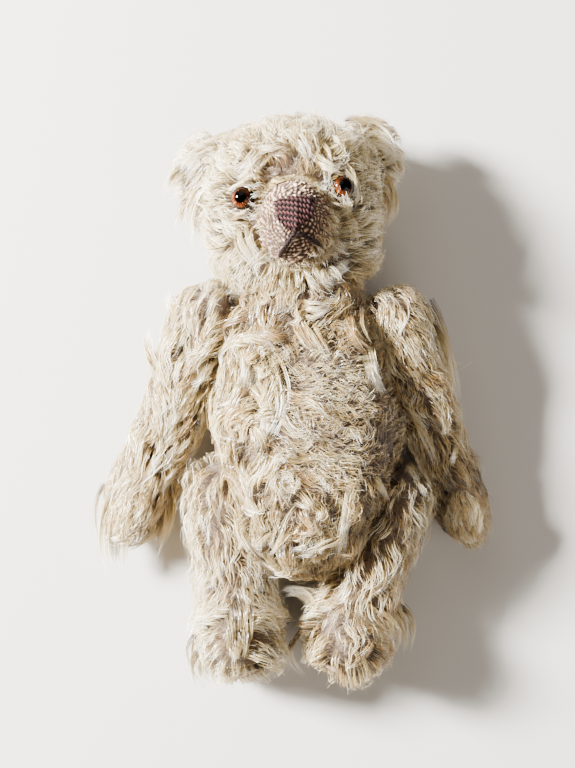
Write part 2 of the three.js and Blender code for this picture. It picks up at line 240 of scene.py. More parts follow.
def setStage():
    scene = bpy.context.scene
    camera = bpy.data.cameras.new("camera")
    camera.lens, camera.sensor_width = view["lens"], view["sensor"]
    camera.clip_start, camera.clip_end = 0.01, 10
    scene.camera = linkNew("camera", camera)
    scene.camera.location = (*view["centre"], view["height"])
    for name, place, size, watts, colour in lamps:
        lamp = bpy.data.lights.new(name, "AREA")
        lamp.energy, lamp.size, lamp.color = watts, size, linear(colour)[:3]
        holder = linkNew(name, lamp)
        holder.location = place
        aim = Vector((0, 0, 0.02)) - Vector(place)
        holder.rotation_euler = aim.to_track_quat("-Z", "Y").to_euler()
    world = bpy.data.worlds.new("room")
    world.use_nodes = True
    background = world.node_tree.nodes["Background"]
    setInputs(world.node_tree, background, {"Color": room["colour"], "Strength": room["strength"]})
    scene.world = world
    corners = np.array([[-1, -1, 0], [1, -1, 0], [1, 1, 0], [-1, 1, 0]]) * room["floorHalf"]
    floor = makeObject("floor", corners, np.array([[0, 1, 2, 3]]))
    floor.data.materials.append(paleFloor())
    print("stage: camera, three lamps and a floor")


# materials

def newMaterial(name):
    material = bpy.data.materials.new(name)
    material.use_nodes = True
    tree = material.node_tree
    return material, tree, tree.nodes["Principled BSDF"]


def setInputs(tree, node, inputs):
    # inputs are numbers, hex colours, or sockets to link from
    for key, value in inputs.items():
        if isinstance(value, bpy.types.NodeSocket):
            tree.links.new(value, node.inputs[key])
        else:
            node.inputs[key].default_value = linear(value) if isinstance(value, str) else value


def addNode(tree, kind, inputs=None, settings=None, stops=(), out=0):
    # gives back one of the node's outputs; stops are a ramp's places and hex colours
    node = tree.nodes.new("ShaderNode" + kind)
    for key, value in (settings or {}).items():
        setattr(node, key, value)
    if stops:
        elements = node.color_ramp.elements
        while len(elements) < len(stops):
            elements.new(0.5)
        for element, (place, colour) in zip(elements, stops):
            element.position, element.color = place, linear(colour)
    setInputs(tree, node, inputs or {})
    return node.outputs[out]


mixed = {"data_type": "RGBA"}
multiplied = {"data_type": "RGBA", "blend_type": "MULTIPLY"}


def paleFloor():
    material, tree, shader = newMaterial("pale_paper_floor")
    setInputs(tree, shader, {"Base Color": room["floor"], "Roughness": 0.9})
    return material


# Mohair is a smooth, lustrous goat fibre: pale and a little see-through at the tip, with a soft
# shine along it. u of the map is each strand's own tint, v runs from its root to its tip.
pileLook = {
    # along: the strand's tone from root to tip, with painted shade: the roots are darkened for the shade deep
    # in the pile, and the tips are whitened as a painted highlight
    "along": [(0.0, "#33261b"), (0.17, "#735f3c"), (0.44, "#cfba85"), (0.78, "#fff8e4"), (1.0, "#ffffff")],
    "tints": [(0.0, "#5f534b"), (0.22, "#bd8c3c"), (0.45, "#dfca92"), (0.7, "#f9f5e6"), (1.0, "#ffffff")],
    "tinted": 0.8, "roughness": 0.33, "shine": 0.8, "sheen": 0.15, "glow": 0.12,
}


def mohairPile():
    material, tree, shader = newMaterial("mohair_pile")
    uvMap = addNode(tree, "UVMap", settings={"uv_map": "UVMap"})
    parts = addNode(tree, "SeparateXYZ", {"Vector": uvMap}).node.outputs
    # the ramp along each strand carries painted shade at the root and a painted highlight at the tip
    along = addNode(tree, "ValToRGB", {"Fac": parts["Y"]}, stops=pileLook["along"])
    tint = addNode(tree, "ValToRGB", {"Fac": parts["X"]}, stops=pileLook["tints"])
    colour = addNode(tree, "Mix", {"Factor": pileLook["tinted"], 6: along, 7: tint}, multiplied, out=2)
    setInputs(tree, shader, {
        "Base Color": colour, "Roughness": pileLook["roughness"], "Specular IOR Level": pileLook["shine"],
        "IOR": 1.55, "Sheen Weight": pileLook["sheen"], "Sheen Roughness": 0.4})
    through = addNode(tree, "BsdfTranslucent", {"Color": colour})
    both = addNode(tree, "MixShader", {"Fac": pileLook["glow"], 1: shader.outputs[0], 2: through})
    setInputs(tree, tree.nodes["Material Output"], {"Surface": both})
    return material


# The cloth under the pile: a plain cotton weave, grey-brown where the pile is gone, partly its own tone
# and partly painted shade, and felted over with short tan roots where it isn't. The wear attribute says
# where.
# the weave's gap colour and the roots' darker colour are painted shade, between the threads and between the
# curls
skinLook = {"threads": 0.5, "weave": "#53423a", "gap": "#211613", "roots": "#75604b", "paintedRootShade": "#38291f"}


def wornSkin(name):
    # each set of threads is a row of bands one thread apart; the two sets are multiplied
    material, tree, shader = newMaterial(name)
    place = addNode(tree, "TexCoord", out="Object")
    wear = addNode(tree, "Attribute", settings={"attribute_name": "wear"}, out="Fac")
    scale = 0.5 / (skinLook["threads"] * mm) / 3.14
    warp, weft = [
        addNode(tree, "TexWave", {"Vector": place, "Scale": scale, "Distortion": 0.6, "Detail": 1.0},
                {"wave_type": "BANDS", "bands_direction": way}, out="Fac") for way in "XY"]
    crossing = addNode(tree, "Math", {0: warp, 1: weft}, {"operation": "MULTIPLY"})
    specks = addNode(tree, "TexNoise", {"Vector": place, "Scale": 1500.0, "Detail": 3.0})
    crossing = addNode(tree, "Mix", {0: 0.6, 2: crossing, 3: specks}, {"data_type": "FLOAT"})
    # the darker gap colour is painted shade between the threads
    weave = addNode(tree, "ValToRGB", {"Fac": crossing},
                    stops=[(0.25, skinLook["gap"]), (0.6, skinLook["weave"])])
    curls = addNode(tree, "TexNoise", {
        "Vector": place, "Scale": 900.0, "Detail": 4.0, "Roughness": 0.65, "Distortion": 1.2})
    # the darker colour is painted shade between the roots' curls
    felted = addNode(tree, "ValToRGB", {"Fac": curls},
                     stops=[(0.35, skinLook["paintedRootShade"]), (0.62, skinLook["roots"])])
    colour = addNode(tree, "Mix", {"Factor": wear, 6: felted, 7: weave}, mixed, out=2)
    height = addNode(tree, "Mix", {0: wear, 2: curls, 3: crossing}, {"data_type": "FLOAT"})
    bump = addNode(tree, "Bump", {"Strength": 0.7, "Distance": 0.3 * mm, "Height": height})
    setInputs(tree, shader, {
        "Base Color": colour, "Normal": bump, "Roughness": 0.92, "Sheen Weight": 0.2})
    return material


def grainy(name, noise, stops, values, relief=None):
    # a noise in the piece's own metres that colours it by a ramp, and raises it by (strength, mm)
    material, tree, shader = newMaterial(name)
    place = addNode(tree, "TexCoord", out="Object")
    grain = addNode(tree, "TexNoise", {"Vector": place, **noise})
    colour = addNode(tree, "ValToRGB", {"Fac": grain}, stops=stops)
    setInputs(tree, shader, {"Base Color": colour, **values})
    if relief:
        bump = addNode(tree, "Bump", {"Strength": relief[0], "Distance": relief[1] * mm, "Height": grain})
        setInputs(tree, shader, {"Normal": bump})
    return material


setStage()
pileMaterial = mohairPile()
skinMaterial = wornSkin("worn_mohair_backing")


# stuffed skins

def wrapNode(name, node, start, way, rings, sides, inset):
    # rows of rays from outside towards the middle line of a CAD skin: each row is one section,
    # spaced by the cosine rule, so that they crowd at the two ends; a pole closes each end
    verts, tris = meshArrays(frame["nodes"][node])
    corners = verts[tris]
    reach = (verts - start) @ way
    ends = np.array([reach.min(), reach.max()]) + np.array([1, -1]) * inset
    half = np.pi * (np.arange(1, rings + 1)) / (rings + 1)
    at = ends[0] + (ends[1] - ends[0]) * (1 - np.cos(half)) / 2
    side = unit(np.cross(way, up))
    lift = np.cross(side, way)
    across, raised = (verts - start) @ side, (verts - start) @ lift
    window = 0.06 * (ends[1] - ends[0]) + 2 * mm
    near = [np.abs(reach - a) < window for a in at]
    centreAcross = np.array([(across[n].min() + across[n].max()) / 2 for n in near])
    centreRaised = np.array([(raised[n].min() + raised[n].max()) / 2 for n in near])
    centre = start + np.outer(at, way) + np.outer(centreAcross, side) + np.outer(centreRaised, lift)
    turn = 2 * np.pi * np.arange(sides) / sides
    out = np.outer(np.cos(turn), side) + np.outer(np.sin(turn), lift)
    far = 0.08
    starts = (centre[:, None] + out[None] * far).reshape(-1, 3)
    ways = np.broadcast_to(-out[None], (rings, sides, 3)).reshape(-1, 3)
    hits = firstHits(starts, ways, corners).reshape(rings, sides)
    radius = np.where(np.isfinite(hits), far - hits - inset, 0.5 * mm)
    radius = np.clip(radius, 0.3 * mm, None)
    surface = centre[:, None] + out[None] * radius[..., None]
    poles = np.stack([centre[0] + way * (ends[0] - at[0]), centre[-1] + way * (ends[1] - at[-1])])
    return makeObject(name, np.concatenate([surface.reshape(-1, 3), poles]), tubeFaces(rings, sides))


stuffing = {
    "voxel": 2.8, "rounds": 6, "pressure": 4.0, "mass": 0.1, "frames": 20, "cap": 1.3, "lumps": 0.5,
}


def stuff(obj, seed):
    # even quads by remesh, swelled by cloth pressure with each point's move capped, then light lumps:
    # a noise 11 mm across and half as much of one 5 mm across
    evenOut(obj, stuffing["voxel"], stuffing["rounds"])
    before = meshArrays(obj)[0]
    cloth = obj.modifiers.new("filling", "CLOTH")
    cloth.settings.use_pressure = True
    cloth.settings.uniform_pressure_force = stuffing["pressure"]
    cloth.settings.effector_weights.gravity = 0
    cloth.settings.mass = stuffing["mass"]
    cloth.point_cache.frame_end = stuffing["frames"]
    scene = bpy.context.scene
    for number in range(1, stuffing["frames"] + 1):
        scene.frame_set(number)
    applyModifiers(obj)
    scene.frame_set(1)
    move = meshArrays(obj)[0] - before
    size = np.linalg.norm(move, axis=1, keepdims=True)
    cap = stuffing["cap"] * mm
    before = before + move * np.minimum(1, cap / np.maximum(size, 1e-9))
    lumps = softNoise(before, 11 * mm, seed) + 0.5 * softNoise(before, 5 * mm, seed + 1)
    moved = before + vertexNormals(obj) * (lumps * stuffing["lumps"] * mm)[:, None]
    moved[:, 2] = np.maximum(moved[:, 2], 0.15 * mm)
    obj.data.vertices.foreach_set("co", moved.ravel())
    finer = obj.modifiers.new("finer", "SUBSURF")
    finer.levels = finer.render_levels = 1
    applyModifiers(obj)


def keepOver(obj, node):
    # vertices that sank under the stuffing are lifted to 0.3 mm over it
    wrap = obj.modifiers.new("over", "SHRINKWRAP")
    wrap.target, wrap.wrap_mode, wrap.offset = frame["nodes"][node], "OUTSIDE", 0.3 * mm
    applyModifiers(obj)


def wearOn(obj, field):
    # how bare the cloth is at each vertex, from 0 to 1
    pointValues(obj, "wear", np.clip(field(meshArrays(obj)[0]), 0, 1))


def mohairSkin(name, node, body, start, way, rings, sides, inset, seed, wear):
    # one stuffed skin: the CAD shape wrapped, stuffed, kept over its filling and worn
    skin = wrapNode(name, node, start, way, rings, sides, inset * mm)
    stuff(skin, seed)
    keepOver(skin, node.replace("cloth", "stuffing"))
    wearOn(skin, wear)
    settle(skin, skinMaterial, body, node)
    return skin


# the pile

# Every layer of pile starts from these values and names only what differs. Lengths are in mm and
# angles in degrees. Real mohair is 0.03 to 0.05 mm wide, so the strands are drawn coarser than life.
pileBase = {
    # how many guides, locks and strands grow, the rows of each and the ribbon's width
    "guides": 200, "locks": 620, "strands": 7000, "guideSteps": 14, "segments": 5, "width": 0.17,
    # a guide's waves along its length and their swing, how far apart guides wave alike, and its stray
    "waves": 0.9, "swing": 0.5, "waveGroup": 14, "stray": 0.3,
    # its height over the skin, its rise at the root, how far it sinks and how firmly it's held there
    "height": 3.0, "lift": 55, "droop": 0.4, "hold": 0.5,
    # a lock's own wave, and how strands gather towards their lock and crimp; how far a lock reaches
    "curl": 0.9, "curls": 1.2, "gather": 0.42, "frizz": 0.34, "reach": 8.0,
    # shares of short down and of hairs that fly away, and how far these rise; tint from lock to lock
    "down": 0.16, "flyaway": 0.1, "rise": 2.5, "mix": 0.15,
    # thin is the thickness between the streaks, gap the noise value below which a streak is missing
    "thin": 1.0, "gap": -0.7,
}

pieceLimit = 195000    # triangles of one piece; a longer pile is dealt out to several pieces


def evenly(value):
    # a field with one value everywhere
    return lambda p: np.full(len(p), value)


def scatter(skin, count, thickness, seed):
    # points on the skin's triangles, chosen by area times thickness, with smoothed normals
    r = np.random.default_rng(seed)
    verts, tris = meshArrays(skin)
    normals = vertexNormals(skin)
    corners = verts[tris]
    area = np.linalg.norm(np.cross(corners[:, 1] - corners[:, 0], corners[:, 2] - corners[:, 0]), axis=1)
    middles, facing = corners.mean(axis=1), unit(normals[tris].mean(axis=1))
    weight = area * np.clip(thickness(middles, facing), 0, None)
    pick = r.choice(len(tris), count, p=weight / weight.sum())
    a, b = r.random(count), r.random(count)
    over = a + b > 1
    a[over], b[over] = 1 - a[over], 1 - b[over]
    share = np.stack([1 - a - b, a, b], axis=1)[..., None]
    return (corners[pick] * share).sum(axis=1), unit((normals[tris[pick]] * share).sum(axis=1))


def nearestIndex(points, targets):
    # brute force in blocks: the squared distance is |p|^2 - 2 p.t + |t|^2
    out = np.empty(len(points), int)
    squares = (targets ** 2).sum(axis=1)
    block = 4000
    for first in range(0, len(points), block):
        own = points[first:first + block]
        out[first:first + block] = (squares - 2 * own @ targets.T).argmin(axis=1)
    return out


def turned(way, p, normal, size, seed, amount):
    # a combing direction swung sideways over the skin by a soft noise
    return way + np.cross(normal, way) * (softNoise(p, size * mm, seed)[:, None] * amount)


def traceGuides(skin, roots, normals, length, comb, look, seed):
    # each guide walks along the combing direction, swung from side to side by a wave and tipped from
    # `lift` at the root down to the lie of the pile, and is held near its own height over the skin
    r = np.random.default_rng(seed)
    verts, skinNormals = meshArrays(skin)[0], vertexNormals(skin)
    count, steps = len(roots), look["guideSteps"]
    phase = 3.2 * softNoise(roots, look["waveGroup"] * mm, seed + 3) + r.normal(0, 0.5, count)
    waves = look["waves"] * r.uniform(0.75, 1.3, count)
    swing = look["swing"] * r.uniform(0.5, 1.4, count)
    stray = r.normal(0, look["stray"], count)
    height = look["height"] * mm * r.uniform(0.5, 1.4, count)
    lift = np.radians(look["lift"]) * r.uniform(0.6, 1.3, count)
    place, normal = roots.copy(), normals.copy()
    path = [place.copy()]
    for step in range(steps):
        t = (step + 0.5) / steps
        nearest = nearestIndex(place, verts)
        normal = unit(0.5 * normal + 0.5 * skinNormals[nearest])
        above = ((place - verts[nearest]) * normal).sum(axis=1)
        way = comb(place, normal)
        way = unit(way - normal * (way * normal).sum(axis=1, keepdims=True))
        side = np.cross(normal, way)
        angle = (stray + swing * np.sin(2 * np.pi * waves * t + phase) * min(1, 0.35 + t))[:, None]
        way = way * np.cos(angle) + side * np.sin(angle)
        wanted = height * (1 - look["droop"] * t * t)
        tip = lift * (1 - t) ** 2 + np.clip((wanted - above) / (length / steps), -1, 1) * look["hold"]
        ahead = way * np.cos(tip)[:, None] + normal * np.sin(tip)[:, None]
        place = place + ahead * (length / steps)[:, None]
        place[:, 2] = np.maximum(place[:, 2], 0.4 * mm)
        path.append(place.copy())
    return np.stack(path, axis=1)


def alongPath(paths, owner, t):
    # straight-line reading of each strand's path at parameters t, one row a strand
    steps = paths.shape[1] - 1
    at = np.clip(t, 0, 1) * steps
    low = np.minimum(at.astype(int), steps - 1)
    share = (at - low)[..., None]
    rows = owner[:, None]
    return paths[rows, low] * (1 - share) + paths[rows, low + 1] * share


def blendGuides(guides, guideNormals, roots, normals):
    # a lock's own course: the mean of its three nearest guides' courses, weighted by 1 / distance^2,
    # where a guide on the far side of a thin part counts as further off
    apart = ((roots[:, None] - guides[None, :, 0]) ** 2).sum(axis=-1)
    turned = 1 - normals @ guideNormals.T
    apart = apart + (turned * 5 * mm) ** 2
    near = np.argpartition(apart, 3, axis=1)[:, :3]
    weight = 1 / (np.take_along_axis(apart, near, axis=1) + (0.5 * mm) ** 2)
    weight = weight / weight.sum(axis=1, keepdims=True)
    flow = guides - guides[:, :1]
    return roots[:, None] + (flow[near] * weight[..., None, None]).sum(axis=1)


def ribbonMesh(name, points, normals, width, roll, tint):
    # flat ribbons: two edges at half the width to each side of the path, thinner at the tip
    count, rows = points.shape[:2]
    along = np.empty_like(points)
    along[:, 1:-1] = points[:, 2:] - points[:, :-2]
    along[:, 0], along[:, -1] = points[:, 1] - points[:, 0], points[:, -1] - points[:, -2]
    along = unit(along)
    flat = unit(np.cross(along, normals[:, None]))
    edge = np.cross(along, flat)
    t = np.linspace(0, 1, rows)[None]
    angle = (roll[:, None] * (0.4 + t))[..., None]
    flat = flat * np.cos(angle) + edge * np.sin(angle)
    taper = 1 - 0.85 * (np.maximum(t - 0.5, 0) / 0.5) ** 1.6
    half = flat * (width[:, None] * taper / 2)[..., None]
    verts = np.stack([points - half, points + half], axis=2)
    verts[..., 2] = np.maximum(verts[..., 2], 0.15 * mm)
    strand = np.arange(count)[:, None] * rows * 2
    row = np.arange(rows - 1)[None] * 2
    base = (strand + row)[..., None]
    faces = (base + np.array([0, 1, 3, 2])).reshape(-1, 4)
    u = (np.clip(tint, 0.01, 0.99)[:, None, None] + np.array([-0.004, 0.004])).repeat(rows, axis=1)
    v = np.broadcast_to((0.01 + 0.98 * t)[..., None], (count, rows, 2))
    uv = np.stack([u, v], axis=-1).reshape(-1, 2)[faces.ravel()]
    return makeObject(name, verts.reshape(-1, 3), faces, uv)


def growPile(name, skin, body, look, comb, thickness, length, tint, seed, bunch=None):
    # guides give the flow, locks follow it with a wave of their own, and strands gather towards their
    # lock; a share of them is down (short and crimped, no lock) and a few fly away from the rest
    r = np.random.default_rng(seed)
    look = {**pileBase, **look}

    def patchy(p, facing):
        streaks = smooth(softNoise(p, 4.5 * mm, seed + 9), look["gap"], look["gap"] + 0.8)
        return thickness(p, facing) * (look["thin"] + (1 - look["thin"]) * streaks)

    guideRoots, guideNormals = scatter(skin, look["guides"], thickness, seed + 1)
    guideLength = length(guideRoots) * mm
    guides = traceGuides(skin, guideRoots, guideNormals, guideLength, comb, look, seed + 2)
    lockRoots, lockNormals = scatter(skin, look["locks"], patchy, seed + 3)
    locks = blendGuides(guides, guideNormals, lockRoots, lockNormals)
    along = np.linspace(0, 1, locks.shape[1])[None]
    side = unit(np.cross(locks[:, -1] - locks[:, 0], lockNormals))
    turn = r.uniform(0, np.pi, look["locks"])[:, None]
    sway = side * np.cos(turn) + lockNormals * np.sin(turn) * 0.7
    crimp = look["curl"] * mm * r.uniform(0.3, 1.5, look["locks"])[:, None] * smooth(along, 0.05, 0.7)
    beat = look["curls"] * r.uniform(0.7, 1.4, look["locks"])[:, None]
    wave = np.sin(2 * np.pi * beat * along + r.uniform(0, 6.3, look["locks"])[:, None]) * crimp
    locks = locks + sway[:, None] * wave[..., None]
    roots, normals = scatter(skin, look["strands"], patchy, seed + 5)
    owner = nearestIndex(roots, lockRoots)
    near = np.linalg.norm(roots - lockRoots[owner], axis=1) < look["reach"] * mm
    roots, normals, owner = roots[near], normals[near], owner[near]
    count, rows = len(roots), look["segments"] + 1
    kind = r.random(count)
    fly, down = kind < look["flyaway"], kind > 1 - look["down"]
    ends = np.where(down, r.uniform(0.25, 0.6, count), r.uniform(0.65, 1.0, count))
    t = np.linspace(0, 1, rows)[None] * ends[:, None]
    offset = roots - lockRoots[owner]
    gather = look["gather"] * r.uniform(0.6, 1.15, count) * (bunch(roots) if bunch else 1)
    gather = np.where(fly | down, 0.1, gather)[:, None]
    points = alongPath(locks, owner, t) + offset[:, None] * (1 - gather * smooth(t, 0.0, 0.8))[..., None]
    frizz = look["frizz"] * mm * np.where(fly | down, 2.6, 1.0) * r.uniform(0.4, 1.3, count)
    swayA, swayB = unit(r.normal(size=(count, 3))), unit(r.normal(size=(count, 3)))
    beat, start = r.uniform(1.0, 2.6, count)[:, None], r.uniform(0, 6.3, count)[:, None]
    ramp = smooth(t, 0.02, 0.7) * frizz[:, None]
    points = points + swayA[:, None] * (np.sin(2 * np.pi * beat * t + start) * ramp)[..., None]
    points = points + swayB[:, None] * (np.sin(2 * np.pi * 0.6 * beat * t) * ramp)[..., None]
    points = points + normals[:, None] * (np.where(fly, look["rise"] * mm, 0)[:, None] * t ** 1.5)[..., None]
    points[:, 0] = roots - normals * 0.2 * mm
    width = look["width"] * mm * r.uniform(0.7, 1.25, count) * np.where(fly, 0.6, np.where(down, 0.75, 1))
    roll = r.normal(0, 0.7, count)
    shade = tint(roots) + softNoise(lockRoots, 8 * mm, seed + 8)[owner] * 0.17
    shade = shade + r.normal(0, look["mix"], look["locks"])[owner] + r.normal(0, 0.14, count)
    triangles = count * look["segments"] * 2
    parts = max(1, int(np.ceil(triangles / pieceLimit)))
    for part in range(parts):
        own = np.arange(part, count, parts)
        obj = ribbonMesh(f"{name}_{part}" if parts > 1 else name, points[own], normals[own], width[own],
                         roll[own], shade[own])
        settle(obj, pileMaterial, body)
    print("pile:", name, triangles, "triangles")


wispLook = {
    "rows": 7, "width": 0.17, "flatness": 0.4, "bundle": 16, "fray": 0.42, "coil": 0.7, "crimp": 0.3,
    "sunk": 0.8, "rooted": 3.0,
}


def growWisps(name, skin, body, node, wisps, seed):
    # single locks that stand out from the rest, each of a few frayed bundles. A course is 3 or 4
    # places (across, along, lift over the skin) in mm from the middle of the cloth's box, joined by
    # Lagrange's polynomial
    r = np.random.default_rng(seed)
    upper = meshArrays(skin)[0][vertexNormals(skin)[:, 2] > -0.1]
    origin, rows = middle(node), wispLook["rows"]
    flat = np.array([1, 1, wispLook["flatness"]])
    points, tints = [], []
    for places, count, spread, tint in wisps:
        spots = np.array(places, float) * mm
        spots[:, :2] += origin[:2]
        near = ((spots[:, None, :2] - upper[None, :, :2]) ** 2).sum(axis=-1)
        spots[:, 2] += upper[near.argmin(axis=1), 2] - wispLook["sunk"] * mm
        knots = np.linspace(0, 1, len(spots))
        bundles = max(3, count // wispLook["bundle"])
        owner = r.integers(0, bundles, count)
        late = np.abs(r.normal(0, 0.12, bundles))[owner, None]
        t = late + np.linspace(0, 1, rows)[None] * r.uniform(0.6, 1, count)[:, None] * (1 - late)
        weights = [np.prod([(t - other) / (knot - other) for other in knots if other != knot], axis=0)
                   for knot in knots]
        bent = sum(w[..., None] * spot for w, spot in zip(weights, spots))
        apart = (r.normal(size=(bundles, 3)) * flat * spread * 0.7 * mm)[owner]
        own = r.normal(size=(count, 3)) * flat * wispLook["fray"] * mm
        beat = r.uniform(0.5, 1.1, bundles)[owner, None]
        coil = np.sin(2 * np.pi * beat * t + r.uniform(0, 6.3, bundles)[owner, None])
        coilWay = unit(r.normal(size=(bundles, 3)) * flat)[owner]
        sway = unit(r.normal(size=(count, 3)))
        beat = r.uniform(0.6, 1.8, count)[:, None]
        wave = np.sin(2 * np.pi * beat * t + r.uniform(0, 6.3, count)[:, None])
        bent = (bent + apart[:, None] * (1 - 0.45 * t)[..., None]
                + own[:, None] * (1.1 - t + 0.9 * t ** 3)[..., None])
        bent = bent + coilWay[:, None] * (coil * wispLook["coil"] * mm * smooth(t, 0, 0.6))[..., None]
        bent = bent + sway[:, None] * (wave * wispLook["crimp"] * mm * smooth(t, 0, 0.5))[..., None]
        bent[:, 0, 2] -= wispLook["rooted"] * mm
        bent[:, 1, 2] -= 1 * mm
        points.append(bent)
        tints.append(tint + r.normal(0, 0.1, bundles)[owner] + r.normal(0, 0.12, count))
    points = np.concatenate(points)
    points[..., 2] = np.maximum(points[..., 2], 0.4 * mm)
    count = len(points)
    width = wispLook["width"] * mm * r.uniform(0.6, 1.2, count)
    roll = r.normal(0, 0.7, count)
    obj = ribbonMesh(name, points, np.broadcast_to(up, (count, 3)), width, roll, np.concatenate(tints))
    settle(obj, pileMaterial, body)
    print("wisps:", name, count * (rows - 1) * 2, "triangles")


def inBox(node):
    # a reader of places as shares of a node's box, from -1 to 1 across, along and up
    low, high = cornersOf(node)
    return lambda p: (p - (low + high) / 2) / ((high - low) / 2)


def blot(s, across, along, wide, tall):
    # a soft round patch in shares of a box: exp(-((x - across) / wide)^2 - ((y - along) / tall)^2)
    return np.exp(-((s[:, 0] - across) / wide) ** 2 - ((s[:, 1] - along) / tall) ** 2)


def directions(x, y, z, s):
    # one direction for each point of s, from numbers or columns
    return np.stack([x + 0 * s[:, 0], y + 0 * s[:, 0], z + 0 * s[:, 0]], axis=1)


def frontFavour(facing, back=0.35):
    # the pile is thickest where it isn't lain on
    return back + (1 - back) * smooth(facing[:, 2], -0.5, 0.25)


# body

bodyPlace = inBox("body_cloth")


def bodyBald(p):
    # the bald patch low on the right of the chest
    s = bodyPlace(p)
    return smooth(s[:, 2], -0.1, 0.4) * blot(s, 0.7, -0.13, 0.24, 0.22)


def bodyWear(p):
    # worn down the middle of the front, bald in the patch, and thin in specks
    s = bodyPlace(p)
    middleOfChest = smooth(s[:, 2], -0.1, 0.4) * 0.75 * blot(s, 0.12, -0.05, 0.42, 0.75)
    return middleOfChest + bodyBald(p) + 0.18 * (softNoise(p, 9 * mm, 40) > 0.5)


def bodyThickness(p, facing):
    # thinner where worn, and by a third on the left, where the ropes lie
    left = smooth(-bodyPlace(p)[:, 0], -0.1, 0.4)
    worn = np.clip(1 - 0.74 * bodyWear(p) - 0.5 * bodyBald(p), 0.02, 1)
    return frontFavour(facing) * worn * (1 - 0.3 * left)


def bodyLength(p):
    # in mm: longest on the left and low down, short where worn
    s = bodyPlace(p)
    left = smooth(-s[:, 0], -0.15, 0.3)
    low = smooth(-s[:, 1], 0.35, 0.75)
    edge = smooth(np.abs(s[:, 0]), 0.6, 0.95)
    return 13.0 + 9.0 * left + 3.0 * low + 2.0 * edge - 5.0 * bodyWear(p)


def bodyComb(p, normal):
    # down on the left, outwards on the right, down at the bottom, with three whorls: across, along,
    # size and sense of turn
    s = bodyPlace(p)
    left = smooth(-s[:, 0], -0.05, 0.25)[:, None]
    low = smooth(-s[:, 1], 0.3, 0.7)[:, None]
    way = directions(-0.25 + 0.2 * s[:, 1], -1.0, 0.0, s) * left
    way = way + directions(0.9, 0.15 + 0.7 * s[:, 1], 0.0, s) * (1 - left)
    way = way * (1 - low) + directions(0.35 * s[:, 0], -1.0, -0.3, s) * low
    for across, along, size, sense in ((-0.75, -0.05, 0.4, 1), (-0.2, -0.4, 0.38, -1), (-0.35, 0.45, 0.3, 1)):
        d = s[:, :2] - np.array([across, along])
        pull = 1.8 * np.exp(-(d ** 2).sum(axis=1) / size ** 2)[:, None]
        way = way + pull * unit(directions(-d[:, 1], d[:, 0], 0.0, s)) * sense
    return turned(way, p, normal, 16, 61, 0.5)


def bodyTint(p):
    # golden at the collar and under the right arm
    s = bodyPlace(p)
    gold = blot(s, -0.2, 0.8, 0.85, 0.18) + 0.7 * blot(s, 0.85, 0.6, 0.2, 0.4)
    return 0.54 - 0.32 * gold - 0.04 * bodyWear(p)


bodyLook = {
    "mix": 0.23, "thin": 0.2, "guides": 260, "locks": 560, "gap": -0.4, "strands": 7800, "segments": 6,
    "guideSteps": 18, "width": 0.18, "waves": 1.2, "swing": 1.0, "waveGroup": 17, "height": 2.2,
    "droop": 0.5, "gather": 0.72, "curls": 1.3,
}
bodyRopes = {
    "mix": 0.24, "guides": 120, "locks": 200, "strands": 6600, "segments": 8, "guideSteps": 20,
    "width": 0.19, "reach": 3.5, "waves": 1.2, "swing": 1.5, "waveGroup": 20, "stray": 0.5, "height": 4.6,
    "droop": 0.45, "gather": 0.88, "curl": 2.5, "curls": 1.1, "frizz": 0.28, "flyaway": 0.04, "down": 0.0,
}
bodyFuzz = {
    "mix": 0.26, "locks": 900, "strands": 5600, "segments": 3, "guideSteps": 10, "width": 0.13,
    "swing": 1.2, "waveGroup": 5, "stray": 0.9, "height": 1.3, "lift": 45, "droop": 0.2, "gather": 0.3,
    "curls": 1.5, "frizz": 0.5, "flyaway": 0.08, "down": 0.35, "rise": 1.5,
}


def ropeThickness(p, facing):
    # ropes on the left, low down and at the collar
    s = bodyPlace(p)
    left = smooth(-s[:, 0], -0.05, 0.3)
    low = smooth(-s[:, 1], 0.25, 0.6)
    collar = smooth(s[:, 1], 0.55, 0.8)
    share = np.clip(left + 0.8 * low + 0.6 * collar + 0.08, 0, 1)
    return frontFavour(facing, 0.1) * share * (1 - 0.7 * bodyWear(p))


def fuzzThickness(p, facing):
    # fuzz where the pile is worn, but little in the bald patch
    return frontFavour(facing, 0) * (bodyWear(p) * (1 - 0.7 * bodyBald(p)) + 0.04)


def bodyBunch(p):
    # ropy locks down the left, loose fibres where the pile is thin
    s = bodyPlace(p)
    return 0.25 + 0.75 * smooth(-s[:, 0], -0.15, 0.25) + 0.3 * smooth(-s[:, 1], 0.4, 0.7)


